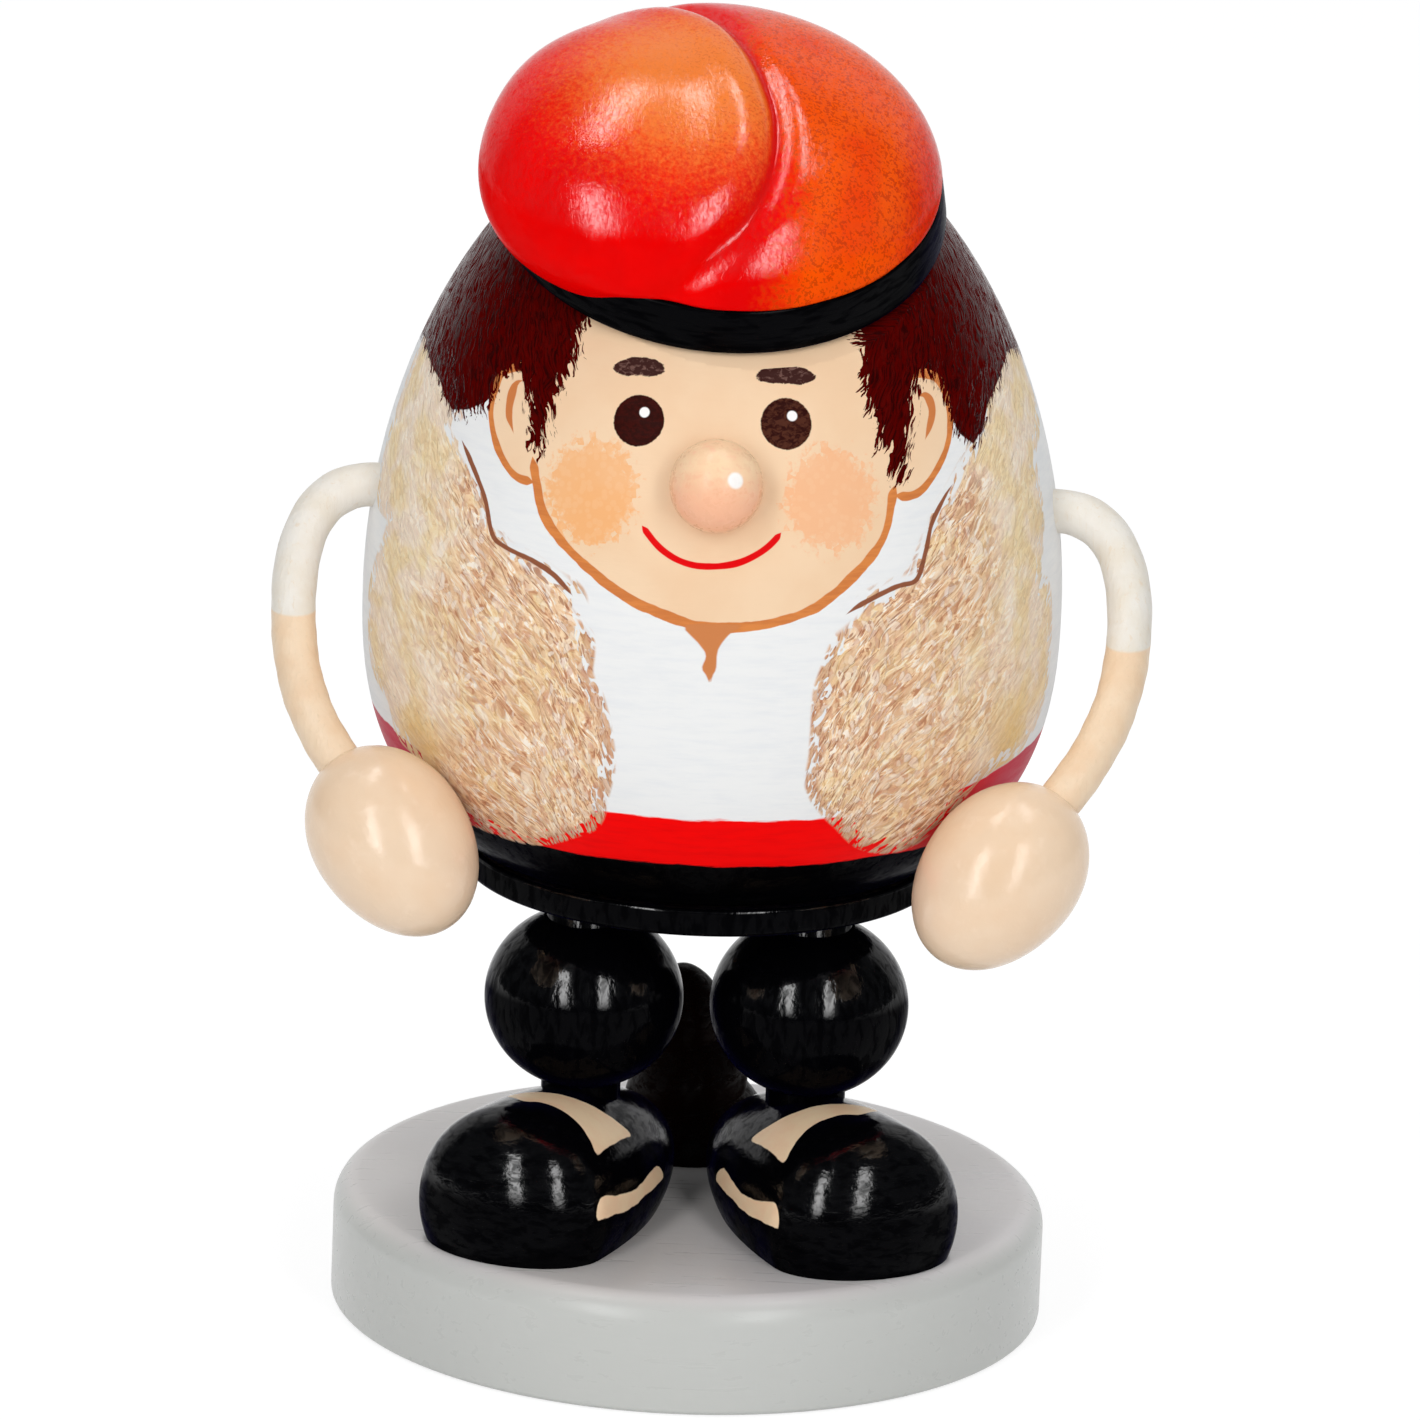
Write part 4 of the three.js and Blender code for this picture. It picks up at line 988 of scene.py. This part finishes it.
flat_normal = CAP_TURN @ Vector((0, 0, 1))
slice_off(body, CAP_PLACE - flat_normal * GAP, flat_normal)
# The smoke hole widens outward to a funnel at 45 degrees
funnel = [(0, 0), (OUTLET_R, 0), (OUTLET_R, FUNNEL_FROM)]
funnel += [(FUNNEL_R, FUNNEL_FROM + FUNNEL_R - OUTLET_R), (FUNNEL_R, 30), (0, 30)]
cut(body, *turning(funnel, 64), along((0, 1, 0), (0, BORE_R / 2 + 1, RIM + OUTLET_UP)))

data = body.data
co = places(data.vertices)
radius = np.hypot(co[:, 0], co[:, 1])
degrees = np.degrees(np.arctan2(co[:, 0], -co[:, 1]))
plane = np.column_stack([np.radians(degrees) * radius, np.interp(co[:, 2], heights, lengths)])


def near_line(line):
    """Which points of the body lie round a line."""
    return ((plane > line.min(axis=0) - REACH) & (plane < line.max(axis=0) + REACH)).all(axis=1)


def shapes(*outlines, per=4):
    """Distance in mm to the nearest of some closed outlines, below 0 inside; with per 0 their corners stay."""
    best = np.full(len(plane), FAR)
    for outline in outlines:
        line = on_plane(outline)
        if per:
            line = curve_through(line, per, True)
        near = near_line(line)
        best[near] = np.minimum(best[near], signed_distance(plane[near], line))
    return best


def strokes(name, *lines):
    """Stores how far each point is to the side of the nearest painted line, and how far past its ends."""
    best, aside, past = (np.full(len(plane), FAR) for _ in range(3))
    for points in lines:
        line = curve_through(on_plane(points), 8)
        near = near_line(line)
        q = plane[near]
        steps = np.diff(line, axis=0)
        length = np.concatenate([[0], np.cumsum(np.hypot(*steps.T))])
        d, off, where = nearest(q, line)
        run = np.interp(where, np.arange(len(line)), length)
        segment, cross = np.maximum(np.ceil(where), 1) - 1, off
        for i in (0, len(steps) - 1):
            x, y = steps[i] / np.hypot(*steps[i])
            to = q - line[i]
            run = np.where(segment == i, length[i] + to @ (x, y), run)
            cross = np.where(segment == i, x * to[:, 1] - y * to[:, 0], cross)
        beyond = np.maximum(-run, run - length[-1])
        off = np.where(beyond > 0, cross, off)
        closer = d < best[near]
        best[near] = np.where(closer, d, best[near])
        aside[near] = np.where(closer, off, aside[near])
        past[near] = np.where(closer, beyond, past[near])
    store(data, name, np.clip(aside, -FAR, FAR))
    store(data, name + "_past", np.clip(past, PAST_LEAST, FAR))


FOREHEAD = [(36, 99), (36, 122), (-36, 122), (-36, 99)]
store(data, "fleece", shapes(FLEECE_L, FLEECE_R, FLEECE_BACK, [(-t, z) for t, z in FLEECE_BACK]))
store(data, "face", shapes(FACE + FOREHEAD, per=0))
store(data, "ears", shapes(EAR_L + [(-33, 98)], EAR_R + [(33, 98)]))
store(data, "hair", shapes(HAIR_L, HAIR_R, per=0))
store(data, "collar", shapes(COLLAR, per=3))
store(data, "brows", shapes(BROW_L, BROW_R))
strokes("vest", VEST_L, VEST_R)
strokes("face_line", FACE)
strokes("ear_line", EAR_L, EAR_R)
strokes("inner_ear", EAR_L_IN, EAR_R_IN)
strokes("mouth", MOUTH)
store(data, "sash", co[:, 2] - (SASH_Z + SASH_RISE * np.clip((np.abs(degrees) - 40) / 30, 0, 1)))
store(data, "waist", co[:, 2] - WAIST_Z)
store(data, "side", np.abs(degrees))
turn, v = np.radians(degrees), plane[:, 1]
for name, lean in (("grain", 0.6), ("grain_steep", 1.2), ("grain_cross", 0.0)):
    swirl = turn - lean * np.clip(2 * np.sin(turn), -1, 1) * (v - 40) / BODY_R
    store(data, name, np.column_stack([BODY_R * np.cos(swirl), BODY_R * np.sin(swirl), v]))
x, y, z = places(data.polygons, "center").T
deep = (np.hypot(x, y) < body_r(z) - 0.9) & (z < RIM + 60)
data.polygons.foreach_set("material_index", deep.astype(np.int32))
smooth(data, 50)

# Nose
slope = float(body_r(RIM + NOSE_UP + 0.01) - body_r(RIM + NOSE_UP - 0.01)) / 0.02
nose_out = Vector((0, -1, -slope)).normalized()
nose_at = Vector((0, -float(body_r(RIM + NOSE_UP)), RIM + NOSE_UP)) + nose_out * NOSE_OUT


def nose_paint():
    p = Paint("nose_gloss_paint", own=True, Specular_IOR_Level=0.3)
    fine = p.noise(0.9, 3, 0.6)
    cloud = p.noise(0.4, 2)
    c = p.tones(cloud, 0.35, 0.7, (249, 216, 176), (248, 208, 168))
    _, height, out = p.split(p.mm)
    low = p.fade(p.shifted(height, fine, 6.0), -2.2, 2.8)
    c = p.mix(p.times(low, 0.8), c, (249, 180, 144))
    c = p.mix(p.times(p.span(fine, 0.56, 0.7), 0.3), c, (246, 170, 142))
    # painted shade: darker tan round the nose's foot, where it meets the face
    c = p.mix(p.span(out, 0.6, 2.0, 0.3, 0.0), c, (220, 182, 138))
    p.colour(p.mix(p.fade(p.near((1.85, 0.5, 4.15)), 0.62, 0.98), c, (252, 248, 244)))
    p.rough(p.span(fine, 0.3, 0.7, 0.24, 0.36))
    p.bump((fine, 0.04))
    return p


profile = [(0, -9), (1.1, -9), (1.5, -8.6), (1.5, -4.5)]
profile += arc(0, 0, NOSE_R, -69, 90, 59)[:-1] + [(0, NOSE_R)]
settle(piece("nose_painted", *turning(profile, 96), [nose_paint()], "figure", ("nose",), "nose_gloss",
             along(nose_out, nose_at)))


# Arms of bent cane, and hands
def bezier(a, b, c, d, steps):
    """Points of a Bezier curve after its first."""
    shares = np.linspace(0, 1, steps + 1)[1:]
    return [a * (1 - t) ** 3 + b * 3 * t * (1 - t) ** 2 + c * 3 * t * t * (1 - t) + d * t**3 for t in shares]


def tube(path, radius, sides, seed):
    """A cane along a path: fine fibres run along it and it swells a little here and there."""
    rng = np.random.default_rng(seed)
    ridge = rng.normal(0, 0.016, sides)
    waves = rng.uniform(0, 6.28, 4)
    last = len(path) - 1
    tangents = [(path[min(i + 1, last)] - path[max(i - 1, 0)]).normalized() for i in range(last + 1)]
    normal = tangents[0].orthogonal().normalized()
    verts = []
    for i, (p, t) in enumerate(zip(path, tangents)):
        normal = (normal - t * normal.dot(t)).normalized()
        side = t.cross(normal)
        swell = 1 + 0.012 * math.sin(i * 0.21 + waves[0]) + 0.008 * math.sin(i * 0.53 + waves[1])
        for k in range(sides):
            a = 2 * math.pi * k / sides
            r = radius * (swell - 0.012) + ridge[k] * math.sin(i * 0.09 + waves[2] + k)
            verts.append(p + normal * (r * math.cos(a)) + side * (r * math.sin(a)))
    faces = []
    ring = np.arange(sides)
    for i in range(last):
        faces += band_faces(ring + i * sides, ring + (i + 1) * sides)
    faces.append(ring[::-1].tolist())
    faces.append((ring + last * sides).tolist())
    return [tuple(v) for v in verts], faces


def cane_paint(name, cuff):
    p = Paint(name, Specular_IOR_Level=0.4)
    z = p.split(p.mm)[2]
    fibre = p.noise((2.2, 2.2, 0.3), 3, 0.6, 0.5)
    cloud = p.noise(0.3, 3)
    sleeve = p.tones(cloud, 0.35, 0.7, (234, 229, 220), (230, 222, 208))
    skin = p.tones(cloud, 0.35, 0.7, (240, 215, 185), (236, 205, 171))
    c = p.mix(p.span(z, cuff - 0.15, cuff + 0.15), skin, sleeve)
    p.colour(p.mix(p.times(p.span(fibre, 0.56, 0.75), 0.4), c, (222, 196, 160)))
    p.rough(p.span(fibre, 0.3, 0.7, 0.3, 0.45))
    p.bump((fibre, 0.1))
    return p


skin = hand_paint()
hand_profile = []
wrist_part = HAND_LENGTH * HAND_WIDEST
for t in np.linspace(-math.pi / 2, math.pi / 2, 97):
    half = wrist_part if t < 0 else HAND_LENGTH - wrist_part
    hand_profile.append((max(0, HAND_R * math.cos(t)), wrist_part - HAND_LENGTH / 2 + half * math.sin(t)))
hand_profile[0] = (0, hand_profile[0][1])
hand_profile[-1] = (0, hand_profile[-1][1])
fall, aim, bend = (math.radians(t) for t in (45, 34, 57))
down = Vector((0, -math.cos(bend), -math.sin(bend)))
for side, word in ((1, "left"), (-1, "right")):
    azimuth = math.radians(HAND_AZIMUTH[side])
    reach = BODY_R + HAND_R - HAND_SUNK
    hand = Vector((side * reach * math.sin(azimuth), -reach * math.cos(azimuth), RIM + HAND_UP[side]))
    point = Vector((-side * math.cos(fall) * math.cos(aim), -math.cos(fall) * math.sin(aim), -math.sin(fall)))
    shoulder_z = RIM + SHOULDER_UP
    shoulder = Vector((side * math.sqrt(float(body_r(shoulder_z)) ** 2 - SHOULDER_Y**2), SHOULDER_Y, shoulder_z))
    elbow = shoulder + Vector((side * ELBOW[0], *ELBOW[1:]))
    wrist = hand - point * (HAND_LENGTH / 2)
    outward = Vector((side, 0, 0))
    upper, lower = (shoulder - elbow).length * 0.42, (elbow - wrist).length * 0.36
    path = [shoulder - outward * (ARM_IN_BODY * (1 - t)) for t in np.linspace(0, 1, 14)]
    path += bezier(shoulder, shoulder + outward * upper, elbow - down * upper, elbow, 50)
    path += bezier(elbow, elbow + down * lower, wrist - point * lower, wrist, 90)
    path += [wrist + point * (ARM_IN_HAND * t) for t in np.linspace(0, 1, 10)[1:]]
    cane = cane_paint(f"painted_cane_{word}", CUFF_Z[side])
    piece(f"arm_{word}_cane", *tube(path, ARM_R, 40, 11 + side), [cane], "figure", (f"arm_{word}",),
          "painted_cane")
    settle(piece(f"hand_{word}_egg", *turning(hand_profile, 112), [skin], "figure", (f"hand_{word}",),
                 "skin_gloss", along(point, hand)))

# Cap
profile = [(0, 0)] + arc(BAND_R - 0.7, 0.7, 0.7, -90, 0, 8)
profile += [(BAND_TOP_R + (BAND_R - BAND_TOP_R) * k, BAND_H - (BAND_H - 0.7) * k) for k in (0.75, 0.5, 0.25)]
profile += arc(BAND_TOP_R - 0.5, BAND_H - 0.5, 0.5, 10, 90, 5) + [(0, BAND_H)]
settle(piece("cap_band_painted", *turning(profile, 200), [black_band], "figure", ("cap_band",), "black_gloss",
             CAP, 50))
crown = piece("cap_crown_painted", *crown_mesh(), [crown_paint()], "figure", ("cap_crown",), "cap_red", CAP)
store(crown.data, "fold", np.clip(crease_fields(places(crown.data.vertices))[0], -FAR, FAR))
settle(crown)
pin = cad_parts["cap_pin"]
pin.data.materials.clear()
pin.data.materials.append(bare.mat)

# ---------------------------------------------------------------- studio
CAMERA_UP, CAMERA_ROLL, CAMERA_AWAY, FOCAL_LENGTH = math.radians(16.865), math.radians(2.23), 1.4, 353.56
up = Vector((0, math.sin(CAMERA_UP), math.cos(CAMERA_UP)))
right = Vector((1, 0, 0))
back = Vector((0, -math.cos(CAMERA_UP), math.sin(CAMERA_UP)))
cos, sin = math.cos(CAMERA_ROLL), math.sin(CAMERA_ROLL)
target = Vector((0.227, 0, 62.341)) * MM
lens = bpy.data.cameras.new("camera")
lens.lens = FOCAL_LENGTH
lens.sensor_width = 36
lens.clip_start = 0.05
place = framed(right * cos + up * sin, up * cos - right * sin, back, target + back * CAMERA_AWAY)
bpy.context.scene.camera = put("camera", lens, place)

# Name, place in metres from MIDDLE, watts, width and length. The first two stand in front, and the
# other two hang overhead for the upper pair of highlights on the cap.
MIDDLE = Vector((0, 0, 0.06))
LAMPS = (
    ("key", (-0.49, -0.96, 0.53), 4.5, 0.22, 1.0), ("key_high", (-0.24, 0.12, 1.17), 1.8, 0.15, 0.62),
    ("fill", (0.47, -0.97, 0.53), 4.1, 0.22, 1.0), ("fill_high", (0.30, 0.12, 1.16), 1.7, 0.15, 0.62),
)
for name, place, power, wide, tall in LAMPS:
    lamp = bpy.data.lights.new(name, "AREA")
    lamp.shape = "RECTANGLE"
    lamp.size, lamp.size_y = wide, tall
    lamp.energy = power
    aim = -Vector(place).normalized()
    across = aim.cross(Vector((0, 0.5, 1))).normalized()
    put(name, lamp, framed(across, across.cross(aim), -aim, Vector(place) + MIDDLE))


def rays(n):
    """Outputs that are 1 for rays from the camera or through glass, and for reflected rays."""
    kinds = ("Camera", "Transmission", "Glossy")
    seen, glass, gloss = (n.node("ShaderNodeLightPath", out=f"Is {kind} Ray") for kind in kinds)
    return n.math("MAXIMUM", seen, glass), gloss


def background(n, colour, strength):
    return n.node("ShaderNodeBackground", {"Color": (*colour, 1), "Strength": strength})


# World: white to the camera, and behind the figure in reflections
world = bpy.data.worlds.new("studio")
bpy.context.scene.world = world
world.use_nodes = True
world.node_tree.nodes.clear()
n = Nodes(world.node_tree)
shown, gloss = rays(n)
toward = n.node("ShaderNodeSeparateXYZ", {0: n.node("ShaderNodeTexCoord", out="Generated")}, out="Y")
behind = n.node("ShaderNodeMapRange", {0: toward, 1: 0.45, 2: 0.8})
white = n.math("MAXIMUM", shown, n.times(gloss, behind))
plain, dim = background(n, (0.96, 0.98, 1.0), 0.42), background(n, (0.9, 0.95, 1.0), 0.05)
bright = background(n, (1, 1, 1), 1.0)
mixed = n.node("ShaderNodeMixShader", {0: gloss, 1: plain, 2: dim})
n.end("ShaderNodeOutputWorld", n.node("ShaderNodeMixShader", {0: white, 1: mixed, 2: bright}))

# Floor: white paper that keeps the shadow
FLOOR_HALF, FLOOR_Z = 4.0, -0.0001
floor_mesh = bpy.data.meshes.new("floor")
corners = [(x * FLOOR_HALF, y * FLOOR_HALF, 0) for x, y in ((-1, -1), (1, -1), (1, 1), (-1, 1))]
floor_mesh.from_pydata(corners, [], [(0, 1, 2, 3)])
floor = put("floor", floor_mesh)
floor.location.z = FLOOR_Z
paper = bpy.data.materials.new("white_paper")
paper.use_nodes = True
paper.node_tree.nodes.clear()
n = Nodes(paper.node_tree)
shown = n.math("MAXIMUM", *rays(n))
matt, faint = (n.node("ShaderNodeBsdfDiffuse", {"Color": (k, k, k, 1)}) for k in (0.82, 0.3))
glow = n.node("ShaderNodeEmission", {"Color": (1, 1, 1, 1), "Strength": 0.8})
lit = n.node("ShaderNodeAddShader", {0: faint, 1: glow})
n.end("ShaderNodeOutputMaterial", n.node("ShaderNodeMixShader", {0: shown, 1: matt, 2: lit}))
floor_mesh.materials.append(paper)

bpy.context.scene.view_settings.view_transform = "Standard"
